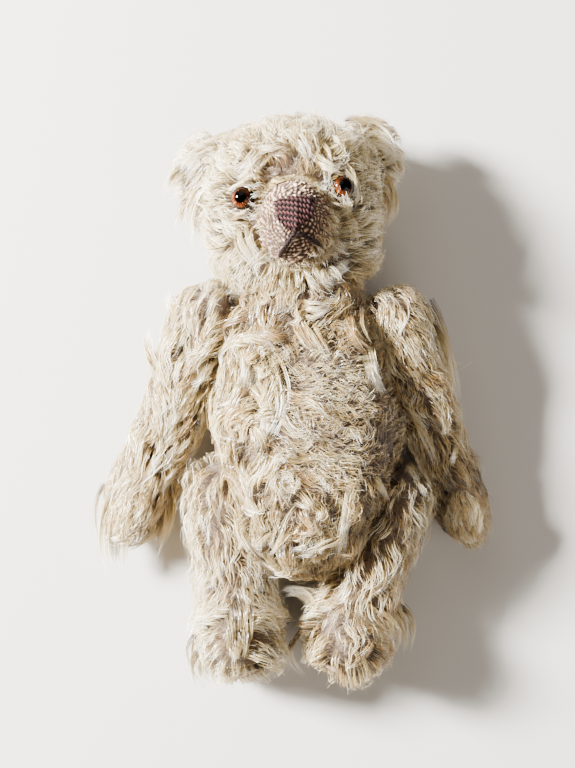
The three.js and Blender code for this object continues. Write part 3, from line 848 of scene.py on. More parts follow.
bodySkin = mohairSkin("bodySkin", "body_cloth", "torso", middle("body_cloth"), np.array([0.0, -1.0, 0.0]),
                      30, 40, 0.9, 21, bodyWear)
growPile("bodyPile", bodySkin, "torso", bodyLook, bodyComb, bodyThickness, bodyLength, bodyTint, 100,
         bodyBunch)
growPile("bodyFuzz", bodySkin, "torso", bodyFuzz, bodyComb, fuzzThickness, evenly(7.0),
         lambda p: 0.56 - 0.35 * bodyBald(p), 110)
growPile("bodyRopes", bodySkin, "torso", bodyRopes, bodyComb, ropeThickness, lambda p: bodyLength(p) + 3,
         lambda p: bodyTint(p) + 0.1, 120)
bodyWisps = [
    # course, strands, spread, shade
    ([(-23.9, 38, 3), (-28, 31.6, 4), (-26.1, 23.7, 3)], 300, 3.0, 0.3),
    ([(-13.5, 37, 3), (-15.4, 30.7, 4), (-9.7, 24.4, 3)], 300, 3.0, 0.32),
    ([(-3.0, 36, 3), (-1.0, 30, 4), (3.0, 24, 3)], 220, 3.0, 0.38),
    ([(12.0, 36, 3), (13.5, 29, 4), (18.0, 24, 3)], 260, 3.0, 0.3),
    ([(-25.0, 30, 2), (-20.0, 21, 4), (-22.0, 10, 3)], 260, 2.6, 0.75),
    ([(21.4, 39.6, 3), (20.4, 30.1, 4), (24.5, 19.9, 3)], 300, 2.5, 0.3),
    ([(18.8, 26.9, 2), (19.5, 19, 4), (23.6, 9.5, 3)], 260, 1.8, 0.95),
    ([(-3.3, 39.5, 3), (1.4, 37, 5), (6.8, 38.9, 4)], 100, 1.8, 0.9),
    ([(-27.1, 17.4, 2), (-31.2, 7.9, 3), (-28, -1.6, 3), (-19.2, -8.6, 2)], 150, 1.8, 0.8),
    ([(-22.3, 14.2, 2), (-15.4, 8.5, 3.5), (-13.5, 0, 3.5), (-19.2, -8, 2.5)], 150, 1.8, 0.85),
    ([(-15.4, 26.9, 2), (-11.3, 16.8, 3), (-9, 6.3, 3), (-13.5, -4.8, 2.5)], 140, 1.8, 0.75),
    ([(-13.5, -4.8, 2), (-15.4, -14.3, 3), (-22.3, -20.6, 3), (-26.1, -23.8, 2)], 150, 1.8, 0.8),
    ([(-19.2, -23.8, 2), (-15.4, -33.3, 3.5), (-8.1, -42.2, 3.5), (-3.3, -46.6, 3)], 160, 2.0, 0.85),
    ([(15, -14.3, 2), (12.5, -22.2, 3.5), (10.6, -33.3, 3.5), (9.3, -42.8, 3)], 160, 1.5, 0.95),
    ([(19.5, -15.9, 2), (22, -20, 3.5), (25.8, -25.4, 3)], 90, 1.4, 0.98),
    ([(-1.8, -9.5, 2), (-9.7, -11.8, 3), (-12.2, -19, 3), (-5.9, -23.8, 2)], 90, 2.2, 0.8),
]
growWisps("bodyWisps", bodySkin, "torso", "body_cloth", bodyWisps, 150)


# head

neckAxis = jointAt("neck_swivel")[1]
headMiddle = middle("head_cloth")
headPlace = inBox("head_cloth")
muzzleMiddle = middle("muzzle_cloth")
muzzleHalf = (cornersOf("muzzle_cloth")[1] - cornersOf("muzzle_cloth")[0]) / 2


def muzzleGap(p):
    # 0 on the muzzle's outline seen from the front, negative inside it, as a share of its size
    d = (p[:, :2] - muzzleMiddle[:2]) / muzzleHalf[:2]
    return np.linalg.norm(d, axis=1) - 1


def eyeGap(p):
    gaps = [np.linalg.norm(p - middle(n), axis=1) / (4.3 * mm) - 1 for n in ("eye_left", "eye_right")]
    return np.minimum(*gaps)


def headWear(p):
    return 0.15 * (softNoise(p, 8 * mm, 43) > 0.55)


def headThickness(p, facing):
    # none over the muzzle and the eyes, and a thick rim round the muzzle
    front = p[:, 2] > headMiddle[2]
    clear = np.where(front, smooth(muzzleGap(p), -0.14, -0.04), 1) * smooth(eyeGap(p), -0.35, -0.1)
    rim = np.exp(-(muzzleGap(p) / 0.15) ** 2) * front
    return frontFavour(facing) * clear * (1 + 0.8 * rim)


def headComb(p, normal):
    # away from the muzzle, and at the crown also sideways and back
    away = p - np.array([*muzzleMiddle[:2], muzzleMiddle[2] + 5 * mm])
    away[:, 2] *= 0.5
    s = headPlace(p)
    top = smooth(s[:, 1], 0.0, 0.6)[:, None]
    way = unit(away) + 0.4 * top * directions(s[:, 0] * 0.8, 0.3, -0.5, s)
    return turned(way, p, normal, 14, 71, 0.45)


def headHollow(p):
    # the smooth tan dip over the bridge of the muzzle
    s = headPlace(p)
    return blot(s, -0.12, 0.4, 0.42, 0.24) * (s[:, 2] > 0)


def headLength(p):
    # in mm: short near the muzzle and the eyes and in the hollow, longer on the crown and the chin
    s = headPlace(p)
    near = np.exp(-np.clip(muzzleGap(p), 0, None) * 3.5) * (p[:, 2] > headMiddle[2])
    eyes = np.exp(-np.clip(eyeGap(p), 0, None) * 1.2)
    crown = smooth(s[:, 1], 0.2, 0.8) + smooth(np.abs(s[:, 0]), 0.4, 0.9)
    chin = smooth(-s[:, 1], 0.4, 0.8)
    return 17.0 - 5.0 * headHollow(p) - 6.5 * near - 4.5 * eyes + 2.0 * chin + 1.5 * crown


def headTint(p):
    # cream, with painted light whitening the left, the window side; tan in the hollow and darker at the chin
    s = headPlace(p)
    paintedWindowLight = 0.1 * smooth(-s[:, 0], 0.2, 0.8)
    return 0.9 + paintedWindowLight - 0.66 * headHollow(p) - 0.2 * smooth(-s[:, 1], 0.6, 0.95)


def tuftThickness(p, facing):
    # tufts on the crown and the sides, few on the cheeks
    clear = smooth(np.minimum(muzzleGap(p), eyeGap(p)), 0.1, 0.6) * (1 - headHollow(p))
    return headThickness(p, facing) * clear * (0.25 + 0.75 * smooth(headPlace(p)[:, 1], -0.1, 0.4))


headLook = {
    "mix": 0.14, "thin": 0.8, "guides": 240, "strands": 12300, "width": 0.165, "waves": 0.8, "swing": 0.9,
    "waveGroup": 15, "stray": 0.35, "height": 4.2, "lift": 70, "droop": 0.25, "curl": 1.0, "curls": 1.0,
    "frizz": 0.45, "flyaway": 0.14, "down": 0.24, "rise": 3.0,
}
headTufts = {
    "mix": 0.16, "guides": 80, "locks": 110, "strands": 3300, "segments": 7, "width": 0.18, "reach": 3.5,
    "swing": 1.1, "waveGroup": 18, "stray": 0.6, "height": 5.4, "lift": 65, "droop": 0.3, "gather": 0.82,
    "curl": 1.9, "curls": 1.0, "frizz": 0.35, "flyaway": 0.05, "down": 0.0, "rise": 3.0,
}
headSkin = mohairSkin("headSkin", "head_cloth", "head", headMiddle, -neckAxis,
                      26, 36, 0.9, 25, headWear)
growPile("headPile", headSkin, "head", headLook, headComb, headThickness, headLength, headTint, 200)
growPile("headTufts", headSkin, "head", headTufts, headComb, tuftThickness, lambda p: headLength(p) + 3,
         lambda p: headTint(p) + 0.1, 220)
headWisps = [
    ([(-8, 20, 3), (-12, 13, 5), (-17, 9, 5)], 200, 3.0, 0.9),
    ([(-4, 22, 3), (2, 20, 5), (5, 13, 5)], 160, 3.0, 0.85),
    ([(-24, 0, 3), (-25, -8, 4), (-21, -16, 3)], 260, 3.6, 0.95),
    ([(-16, -6, 3), (-15, -13, 5), (-11, -19, 4)], 240, 3.0, 0.92),
    ([(22, 16, 3), (25, 8, 3), (26, -1, 2)], 220, 3.2, 0.8),
    ([(-17, -17, 3), (-21, -23, 4), (-25, -30, 5)], 260, 3.4, 0.85),
    ([(-8, -22, 3), (-10, -27, 5), (-15, -32, 5)], 160, 3.0, 0.8),
    ([(15, -18, 3), (20, -24, 3), (23, -29, 3)], 200, 3.4, 0.5),
    ([(14.5, 15, 4), (17.5, 10, 7), (19.9, 4.8, 7), (20.6, -1.5, 5)], 36, 1.7, 0.8),
    ([(5, 16, 4), (9, 12, 7), (13, 9.6, 8), (17.5, 8.6, 8)], 34, 1.7, 0.7),
    ([(18, 0, 3), (15, -0.6, 6), (12.5, 0.4, 6)], 16, 1.4, 0.9),
    ([(-11, 8, 4), (-14, 6.6, 7), (-18, 5.6, 7), (-21.5, 2.5, 6)], 34, 1.7, 0.9),
    ([(-21, -3, 4), (-18, -3.4, 6), (-14.5, -2.6, 6)], 26, 1.3, 0.35),
    ([(1.5, 23.4, 3), (7.9, 19.5, 4.5), (11.1, 13.2, 4.5), (10.4, 5.6, 3)], 60, 2.5, 0.7),
    ([(15.9, 22.7, 3), (19.7, 17, 4.5), (21.9, 8.1, 3)], 160, 2.2, 0.95),
    ([(-34.5, 15.4, 3), (-39.2, 11, 3), (-42.9, 6, 1)], 160, 2.0, 0.95),
    ([(-16, 20, 3), (-23, 19.5, 5), (-31, 17, 5), (-36, 10, 3)], 420, 4.0, 0.95),
    ([(-22, 8, 3), (-29, 5, 4), (-33, -3, 2), (-31, -10, 0)], 420, 4.0, 0.95),
    ([(14, 22, 3), (22, 23, 5), (29, 22, 4), (33, 15, 2)], 360, 4.0, 0.75),
    ([(22, 12, 3), (28, 8, 3), (31, 1, 1), (29, -6, 0)], 320, 3.5, 0.6),
    ([(-32.8, 5.3, 1), (-37.2, -0.4, 1), (-37.9, -5.7, 0)], 100, 2.0, 0.95),
    ([(6, -21.2, 2), (11.7, -22.4, 4), (18.7, -18, 3)], 180, 2.2, 0.95),
    ([(-11.2, -8.4, 2), (-8.6, -15.4, 3), (-2.6, -22.4, 2)], 100, 1.6, 0.9),
    ([(-9.9, 16.4, 3), (-15.3, 23.4, 4), (-13.7, 28.4, 0)], 140, 2.6, 0.85),
    ([(13.3, 19.5, 3), (18.1, 25.3, 3), (25.1, 26.5, 2)], 140, 2.6, 0.85),
    ([(-9.9, 11.6, 2), (-13.7, 6.8, 3), (-18.2, 3.6, 2)], 60, 2.0, 0.35),
    ([(13.3, -1.1, 2), (18.1, -6.5, 3), (18.7, -12.3, 2)], 100, 2.4, 0.6),
]
growWisps("headWisps", headSkin, "head", "head_cloth", headWisps, 250)


# limbs

limbLook = {
    ("arm", "left"): {
        "mix": 0.17, "thin": 0.4, "gap": -0.5, "guides": 180, "locks": 520, "width": 0.19, "swing": 0.7,
        "waveGroup": 12, "lift": 60, "gather": 0.55, "curl": 0.6, "curls": 1.4, "frizz": 0.32,
    },
    ("leg", "left"): {
        "thin": 0.5, "strands": 6100, "guideSteps": 12, "width": 0.16, "waves": 0.7, "swing": 0.55,
        "stray": 0.25, "height": 5.6, "lift": 75, "droop": 0.2, "curl": 0.7, "curls": 1.0, "flyaway": 0.12,
        "down": 0.15,
    },
}
limbLook["leg", "right"] = limbLook["leg", "left"]
# the right arm's pile is flattened and has lost its locks
limbLook["arm", "right"] = {
    **limbLook["arm", "left"], "gather": 0.15, "down": 0.5, "swing": 0.4, "curl": 0.3, "thin": 0.9,
    "strands": 9000, "segments": 4, "lift": 40, "height": 2.2, "frizz": 0.45,
}
limbShade = {("arm", "left"): 0.7, ("arm", "right"): 0.5, ("leg", "left"): 0.74, ("leg", "right"): 0.38}
limbRings = {"arm": 30, "leg": 28}


def makeLimb(kind, side, seed):
    node, body = f"{kind}_{side}_cloth", f"{kind}_{side}"
    joint = {"arm": "shoulder", "leg": "hip"}[kind] + f"_{side}_swing"
    point = jointAt(joint)[0]
    down = downFrom(joint)
    outwards = unit(np.cross(down, up))
    outwards = outwards * np.sign(outwards[0]) * (-1 if side == "left" else 1)
    low, high = cornersOf(node)
    reach = np.abs((high - low) @ np.abs(down))

    def along(p):
        return (p - point) @ down / reach

    def wear(p):
        # arms: a strip on the inside, and the palm of the left one; legs: the toes
        base = 0.15 * (softNoise(p, 8 * mm, seed) > 0.5)
        if kind == "arm":
            inner = np.exp(-(((p - point) @ outwards - 3 * mm) / (5 * mm)) ** 2) * (p[:, 2] > 15 * mm)
            strip = np.exp(-((along(p) - 0.33) / 0.22) ** 2)
            palm = middle(f"paw_pad_{side}") + down * 3 * mm + up * 4 * mm
            base = base + 1.2 * (side == "left") * np.exp(-(np.linalg.norm(p - palm, axis=1) / (5 * mm)) ** 2)
            return base + (0.5 if side == "left" else 0.3) * inner * strip
        toe = middle(f"foot_pad_{side}") - down * 8 * mm + up * 18 * mm
        return base + 0.3 * np.exp(-(np.linalg.norm(p - toe, axis=1) / (7 * mm)) ** 2)

    def thickness(p, facing):
        return frontFavour(facing, 0.4) * (1 - 0.6 * wear(p))

    def length(p):
        # in mm: arms have one length, the right one's shorter towards its paw; feet are longer than legs
        if kind == "arm":
            tip = smooth(along(p), 0.6, 0.85)
            return (17.0 if side == "left" else 11.0 - 1.5 * tip) - 4.0 * wear(p)
        return 13.0 + 4.0 * smooth(along(p), 0.4, 0.7) - 3.0 * wear(p)

    def comb(p, normal):
        # down the limb and a little outwards; on a foot, away from the instep
        way = down + 0.3 * outwards
        if kind == "leg":
            instep = middle(f"foot_pad_{side}") - down * 12 * mm + up * 12 * mm
            foot = smooth(along(p), 0.3, 0.6)[:, None]
            way = unit(p - instep + down * 4 * mm) * foot + (down + 0.35 * outwards) * (1 - foot)
        return turned(way, p, normal, 13, seed + 4, 0.5)

    def tint(p):
        # arms golden above the paw, the left thigh too; legs get painted light, whiter from the middle to the
        # left, the window side, and down
        base = limbShade[kind, side] + 0.16 * (body == "leg_right") * smooth(-along(p), -0.5, -0.3)
        if kind == "arm":
            gold = 0.3 * np.exp(-((along(p) - 0.6) / 0.12) ** 2)
        else:
            gold = 0.2 * (side == "left") * (along(p) < 0.25)
        # painted light on the window side of the lower legs and the feet
        paintedWindowLight = 0.22 * smooth((middle(node)[0] - p[:, 0]) / mm, -2, 8) * (kind == "leg")
        paintedWindowLight = paintedWindowLight * smooth(along(p), 0.35, 0.6)
        return base + paintedWindowLight - gold * (softNoise(p, 12 * mm, seed + 6) > -0.2) - 0.15 * wear(p)

    skin = mohairSkin(f"{kind}Skin_{side}", node, body, point, down,
                      limbRings[kind], 26, 0.7, seed, wear)
    growPile(f"{kind}Pile_{side}", skin, body, limbLook[kind, side], comb, thickness, length, tint, seed * 10)
    growWisps(f"{kind}Wisps_{side}", skin, body, node, limbWisps[kind, side], seed * 10 + 5)


limbWisps = {
    ("arm", "left"): [
        ([(5.3, 27, 3), (0, 34.6, 4), (-2.2, 41.5, 3)], 220, 2.0, 0.95),
        ([(1, 10.5, 3), (-7.3, 20.4, 3), (-8.6, 29, 2)], 220, 2.0, 0.95),
        ([(19, 36, 2), (21, 26, 4), (20, 14, 4), (16, 4, 2)], 320, 3.0, 0.7),
        ([(-15.6, -22, 3), (-22.4, -36, 4), (-20.5, -52, 1)], 900, 3.2, 1.0),
        ([(-12, -26, 2), (-18.5, -38, 3), (-19.5, -51, 0)], 400, 3.0, 0.95),
        # the inner lobe's darker shade is painted shade: it hangs behind the outer lobe, in its shadow
        ([(-4.1, -16.1, 3), (-3.1, -30, 3), (-7.2, -44, 1)], 460, 3.0, 0.5),
        ([(7.6, 28.7, 2), (9.2, 15.5, 3), (2.6, 2.3, 3), (-2.3, -10.9, 2)], 140, 1.8, 0.8),
        ([(-7.3, -7.6, 2), (-10.6, -17.5, 3), (-15.5, -27.4, 2)], 140, 2.2, 0.3),
        ([(10.9, 18.8, 2), (12.5, 5.6, 3), (7.6, -7.6, 2)], 100, 1.6, 0.95),
    ],
    ("arm", "right"): [
        ([(-12.8, 9, 2), (-7.5, -1.7, 3), (-2, -13.2, 3), (1.3, -26.2, 2)], 220, 2.0, 0.6),
        ([(-19, 37, 2), (-16, 28, 4), (-15, 16, 4), (-12, 6, 2)], 320, 3.0, 0.6),
        ([(-4, 38, 2), (2, 28, 3.5), (6, 16, 3.5), (9, 4, 2)], 400, 3.0, 0.62),
        ([(-10.1, 6.4, 2), (-2, -3.4, 3), (2.9, -16.4, 2)], 120, 1.8, 0.65),
        ([(6.9, 1.5, 2), (6.2, -2.7, 4), (4.3, -5.3, 3)], 40, 0.8, 1.0),
        ([(9.5, -6.6, 2), (8.8, -11.5, 4), (7.2, -14.8, 3)], 40, 0.8, 1.0),
        ([(7.3, 19.2, 1), (10.9, 17.6, 3), (14.8, 19.9, 5)], 8, 1.0, 0.95),
        ([(13.9, -38.7, 2), (17.3, -42, 3), (19.6, -43.7, 4)], 30, 1.2, 0.95),
        # this wisp's near-white shade is a painted highlight where the pile catches light over the body
        ([(-10.1, 38, 1), (-8.8, 33.1, 4), (-10.1, 28.2, 3)], 30, 2.0, 0.95),
    ],
    ("leg", "left"): [
        ([(-2.6, -12.6, 3), (-10.1, -15.9, 4), (-15, -24.4, 2)], 400, 4.0, 1.0),
        ([(0, -14, 4), (2, -22, 5), (-1, -34, 2), (-3, -41, 0)], 400, 5.0, 0.85),
        ([(-5.8, -22.6, 3), (-10.7, -31.5, 3), (-8.1, -41, 0)], 400, 4.0, 1.0),
        ([(2.3, -6.1, 2), (5.5, -9.4, 3), (4.9, -15.9, 3)], 120, 4.0, 0.35),
    ],
    ("leg", "right"): [
        ([(-15.3, -21.2, 2), (-16.6, -12.1, 4), (-22.4, -7.5, 4), (-27.6, -9.2, 4)], 260, 2.5, 0.98),
        ([(-6, -14, 4), (4, -20, 5), (2, -33, 2)], 400, 5.0, 0.7),
        ([(4, -12, 3), (12, -18, 3), (12, -28, 1)], 300, 3.5, 0.6),
        ([(-22.4, -21.2, 1), (-26.3, -29.3, 1), (-20.8, -37.4, 0)], 60, 1.5, 0.9),
        ([(-12.7, -31.6, 1), (-7.8, -34.8, 1), (-3, -34.2, 1)], 40, 1.5, 0.9),
        ([(14.6, 22, 2), (17.9, 20.4, 4), (21.2, 16.4, 4)], 40, 0.6, 1.0),
    ],
}
for number, (kind, side) in enumerate((("arm", "left"), ("arm", "right"), ("leg", "left"), ("leg", "right"))):
    makeLimb(kind, side, 31 + number)


# ears

earLook = {
    "mix": 0.12, "guides": 90, "locks": 220, "strands": 2300, "segments": 4, "guideSteps": 9, "waves": 0.6,
    "waveGroup": 9, "stray": 0.4, "height": 3.4, "lift": 65, "droop": 0.3, "hold": 0.4, "gather": 0.4,
    "curl": 0.5, "frizz": 0.4, "flyaway": 0.14, "down": 0.2,
}


def evenCopy(name, node, voxel, rounds):
    # a CAD piece's own mesh in even quads, rounded off
    obj = linkNew(name, frame["nodes"][node].data.copy())
    evenOut(obj, voxel, rounds)
    return obj


def makeEar(side, seed):
    # the pile grows outwards from the ear's middle and away from the head, and hangs a little
    node = f"ear_{side}"
    skin = evenCopy(f"earSkin_{side}", node, 1.0, 5)
    wearOn(skin, evenly(0.0))
    settle(skin, skinMaterial, "head", node)
    centre = middle(node)
    growth = unit(centre - headMiddle)

    def comb(p, normal):
        return unit(p - centre) * 0.8 + 0.6 * growth + np.array([0, -0.5, 0])

    growPile(f"earPile_{side}", skin, "head", earLook, comb, lambda p, f: frontFavour(f, 0.6),
             evenly(10.0), evenly(0.8), seed)


makeEar("left", 400)
makeEar("right", 410)


# muzzle, its pile gone: a knobbly weave. Its pitch is 1.7 mm, coarser than the 1 to 1.2 mm of the real
# cloth, so that single knobs can still be made out

muzzleLook = {
    "pitch": 1.7, "knob": 1.15, "rings": 105, "sides": 170, "wall": 1.1, "reach": 84, "rounds": 12,
    # threads: darkest in the dips between knobs and palest on their tops, painted shade and painted highlight
    "threads": [(0.08, "#2a1b12"), (0.36, "#6a4f3b"), (0.62, "#cbab8a"), (0.9, "#fff4e4")],
}


def knobblyWeave():
    # the ramp reads the knobs' height plus fine fibres, with painted shade in the dips between knobs and a
    # painted highlight on their tops; dirt darkens it in larger patches
    material, tree, shader = newMaterial("knobbly_wool_weave")
    place = addNode(tree, "TexCoord", out="Object")
    knob = addNode(tree, "Attribute", settings={"attribute_name": "knob"}, out="Fac")
    fibres = addNode(tree, "TexNoise", {
        "Vector": place, "Scale": 2600.0, "Detail": 3.0, "Roughness": 0.7})
    dirt = addNode(tree, "TexNoise", {"Vector": place, "Scale": 130.0, "Detail": 2.0})
    shade = addNode(tree, "Math", {0: fibres, 1: 0.35, 2: -0.17}, {"operation": "MULTIPLY_ADD"})
    shade = addNode(tree, "Math", {0: knob, 1: shade}, {"operation": "ADD"})
    colour = addNode(tree, "ValToRGB", {"Fac": shade}, stops=muzzleLook["threads"])
    soiling = addNode(tree, "Math", {0: dirt, 1: 0.55}, {"operation": "MULTIPLY"})
    soiled = addNode(tree, "Mix", {"Factor": soiling, 6: colour, 7: "#c7ab90"}, multiplied, out=2)
    bump = addNode(tree, "Bump", {"Strength": 0.6, "Distance": 0.12 * mm, "Height": fibres})
    setInputs(tree, shader, {
        "Base Color": soiled, "Normal": bump, "Roughness": 0.9, "Sheen Weight": 0.08})
    return material


def blurred(field, times):
    # the mean of each cell and its neighbours, round in columns and held at the first and last row
    for _ in range(times):
        rows = np.concatenate([field[:1], field, field[-1:]])
        field = (rows[:-2] + rows[2:] + 2 * field) / 4
        field = (np.roll(field, 1, axis=1) + np.roll(field, -1, axis=1) + 2 * field) / 4
    return field


def makeMuzzle():
    # rays from outside find the CAD cloth; on it, rings of knobs one pitch apart, each ring turned by
    # half a knob: height = |cos(pi s)| |cos(pi k)| with s in rings and k in knobs round the ring
    look = muzzleLook
    verts, tris = meshArrays(frame["nodes"]["muzzle_cloth"])
    low, high = cornersOf("muzzle_cloth")
    centre = np.array([*(low + high)[:2] / 2, low[2] + 0.4 * mm])
    rings, sides, far = look["rings"], look["sides"], 0.05
    theta = np.radians(np.linspace(0, look["reach"], rings + 1)[1:])[:, None]
    phi = (2 * np.pi * np.arange(sides) / sides)[None]
    ways = np.stack(np.broadcast_arrays(
        np.sin(theta) * np.cos(phi), np.sin(theta) * np.sin(phi), np.cos(theta)), axis=-1)
    flat = ways.reshape(-1, 3)
    radius = far - firstHits(centre + flat * far, -flat, verts[tris]).reshape(rings, sides)
    radius = blurred(radius, look["rounds"])
    surface = centre + ways * radius[..., None]
    step = np.linalg.norm(np.diff(surface, axis=0), axis=-1).mean(axis=1)
    arc = np.concatenate([[radius[0].mean() * theta[0, 0]], step]).cumsum()[:, None]
    around = np.linalg.norm(surface - np.roll(surface, 1, axis=1), axis=-1).sum(axis=1)

    def unevenness(size, seed):
        return softNoise(surface.reshape(-1, 3), size * mm, seed).reshape(rings, sides)

    pitch = look["pitch"] * mm
    along = (arc + unevenness(4, 81) * 0.6 * mm) / pitch
    ring = np.round(along)
    number = np.round(np.interp(ring * pitch, arc[:, 0], around) / pitch).clip(6)
    turn = number * phi / (2 * np.pi) + 0.5 * (ring % 2) + unevenness(5, 83) * 0.55
    knob = np.abs(np.cos(np.pi * (along - ring))) * np.abs(np.cos(np.pi * turn))
    knob = knob * (0.75 + 0.25 * unevenness(2, 85))
    outer = centre + ways * (radius + (knob - 0.6) * look["knob"] * mm)[..., None]
    back = np.linspace(rings - 1, 4, 9).astype(int)
    inner = centre + ways[back] * (radius[back] - look["wall"] * mm)[..., None]
    tip = centre + up * radius[0].mean()
    points = np.concatenate([outer.reshape(-1, 3), inner.reshape(-1, 3), [tip, tip - up * look["wall"] * mm]])
    obj = makeObject("muzzleSkin", points, tubeFaces(rings + len(back), sides))
    faceOutwards(obj)
    # welding the back merges a vertex, so that the last value is left over
    value = np.concatenate([knob.ravel(), np.full(len(back) * sides + 2, 0.4)])
    pointValues(obj, "knob", value[:len(obj.data.vertices)])
    shadeSmooth(obj.data)
    settle(obj, knobblyWeave(), "head", "muzzle_cloth")
    return obj


def onMuzzle(points):
    # heights of the muzzle's CAD surface under points given across and along, by rays from above
    verts, tris = meshArrays(frame["nodes"]["muzzle_cloth"])
    top = 0.09
    starts = np.column_stack([points, np.full(len(points), top)])
    drop = firstHits(starts, np.broadcast_to(-up, starts.shape), verts[tris])
    drop = np.where(np.isfinite(drop), drop, top - verts[:, 2].min())
    return np.column_stack([points, top - drop])


def ropes(name, paths, radius, sides, twist, depth):
    # two-ply threads along many paths at once: the section's radius is
    # r (1 - depth + depth |cos(angle - turn)|), the turn growing with the length; ends are pulled shut
    count, rows = paths.shape[:2]
    steps = np.linalg.norm(np.diff(paths, axis=1), axis=-1)
    length = np.concatenate([np.zeros((count, 1)), steps.cumsum(axis=1)], 1)
    along = unit(np.gradient(paths, axis=1))
    side = unit(np.cross(along, up))
    lift = np.cross(side, along)
    angle = 2 * np.pi * np.arange(sides) / sides
    start = np.arange(count)[:, None] * 2.4
    ridge = np.abs(np.cos(angle[None, None] - (np.pi * length / twist + start)[..., None]))
    t = np.linspace(0, 1, rows)
    shut = np.sqrt(np.clip(np.minimum(t, 1 - t) * 2 * (length.max() / (4 * radius)), 0.02, 1))
    r = radius * (1 - depth + depth * ridge) * shut[None, :, None]
    ring = side[:, :, None] * np.cos(angle)[None, None, :, None]
    ring = ring + lift[:, :, None] * np.sin(angle)[None, None, :, None]
    points = paths[:, :, None] + ring * r[..., None]
    ends = np.stack([paths[:, 0], paths[:, -1]], axis=1)
    allPoints = np.concatenate([points.reshape(-1, 3), ends.reshape(-1, 3)])
    obj = makeObject(name, allPoints, tubeFaces(rows, sides, count))
    pointValues(obj, "ridge", np.concatenate([ridge.ravel(), np.zeros(2 * count)]))
    faceOutwards(obj, weld=False)
    return obj


def spunThread(name, low, high, tip):
    # pearl cotton, two plies twisted: painted shade in the grooves between the plies and a painted highlight
    # on the ridges
    material, tree, shader = newMaterial(name)
    place = addNode(tree, "TexCoord", out="Object")
    ridge = addNode(tree, "Attribute", settings={"attribute_name": "ridge"}, out="Fac")
    fibres = addNode(tree, "TexNoise", {"Vector": place, "Scale": 3000.0, "Detail": 2.0})
    shade = addNode(tree, "Math", {0: fibres, 1: 0.5, 2: -0.25}, {"operation": "MULTIPLY_ADD"})
    shade = addNode(tree, "Math", {0: ridge, 1: shade}, {"operation": "ADD"})
    # dark grooves and pale ridges: painted shade and painted highlight along the twist
    colour = addNode(tree, "ValToRGB", {"Fac": shade}, stops=[(0.15, low), (0.7, high), (1.0, tip)])
    bump = addNode(tree, "Bump", {"Strength": 0.5, "Distance": 0.08 * mm, "Height": fibres})
    setInputs(tree, shader, {
        "Base Color": colour, "Normal": bump, "Roughness": 0.6,
        "Specular IOR Level": 0.12})
    return material


noseLook = {
    "width": 14.6, "height": 11.6, "threads": 10, "radius": 0.95, "twist": 1.7, "depth": 0.45, "lean": 0.1,
    "colours": ("#050202", "#1c0c0d", "#4f302e"),
}
faceUp = neckAxis * np.sign(neckAxis[1])
faceRight = np.cross(faceUp, up)


def sunk(path, t, steepness, height, depth):
    # a stitch stands `height` over the cloth and dives `depth` lower at both ends, in mm
    dip = np.clip(np.minimum(t, 1 - t) * steepness, 0, 1)
    return path + up * (height * dip - depth) * mm


def makeNose():
    # threads laid side by side from the top edge to the bottom edge of a rounded triangle, drawn
    # together a little at the bottom
    look = noseLook
    across = np.linspace(-0.5, 0.5, look["threads"] + 2)[1:-1]
    half = np.abs(across) * 2
    top = look["height"] * (0.5 - 0.16 * half ** 4)
    bottom = look["height"] * (-0.5 + 0.5 * half ** 1.7)
    t = np.linspace(0, 1, 46)[None]
    down = top[:, None] * (1 - t) + bottom[:, None] * t
    share = down / look["height"] + 0.5
    wide = across[:, None] * look["width"] * (0.72 + 0.28 * share) + look["lean"] * down
    spread = wide[..., None] * faceRight[:2] + down[..., None] * faceUp[:2]
    flat = middle("nose_stitching")[:2] + spread * mm
    path = onMuzzle(flat.reshape(-1, 2)).reshape(len(across), -1, 3)
    path = sunk(path, t[..., None], 9, 0.55, 0.35)
    nose = ropes("noseThreads", path, look["radius"] * mm, 10, look["twist"] * mm, look["depth"])
    thread = spunThread("nose_pearl_cotton", *look["colours"])
    settle(nose, thread, "head", "nose_stitching")


mouthLook = {
    "radius": 0.82, "twist": 1.3, "depth": 0.35, "start": (-0.4, -4.6), "foot": 1.2,
    "left": (-6.0, -6.4), "right": (8.2, -4.8),
    "colours": ("#040202", "#110707", "#2e1c1a"),
}


def makeMouth():
    # one stitch down from the nose and two from its foot, the right one longer and flatter
    look = mouthLook
    right, rise = look["start"]
    tip = middle("nose_stitching")[:2] + faceUp[:2] * rise * mm + faceRight[:2] * right * mm
    fork = tip - faceUp[:2] * look["foot"] * mm
    corners = [fork + (x * faceRight + y * faceUp)[:2] * mm for x, y in (look["left"], look["right"])]
    t = np.linspace(0, 1, 40)[:, None]
    paths = [sunk(onMuzzle(start * (1 - t) + end * t), t, 8, 1.25, 0.15)
             for start, end in ((tip, fork), (fork, corners[0]), (fork, corners[1]))]
    mouth = ropes("mouthThreads", np.array(paths), look["radius"] * mm, 8, look["twist"] * mm, look["depth"])
    thread = spunThread("mouth_pearl_cotton", *look["colours"])
    settle(mouth, thread, "head", "mouth_stitching")


# glass eyes: amber glass blown over a black pupil, polished; v of the map runs from front to back

eyeLook = {
    "radius": 3.8, "sides": 48, "rows": 30, "turn": 0.22, "flat": 0.9, "sink": {"left": 0.6, "right": 1.3},
    "iris": [(0.32, "#26100a"), (0.5, "#54270f"), (0.68, "#965c30")],
    "outwards": [(0.155, "#030202"), (0.18, "#b8a090"), (0.27, "#ffffff"), (0.36, "#1d110b")],
    # round: painted shade over the top of the iris, full colour below it
    "round": [(0.0, "#ffffff"), (0.3, "#ffffff"), (0.5, "#6e6e6e"), (0.85, "#6e6e6e"), (1.0, "#ffffff")],
}


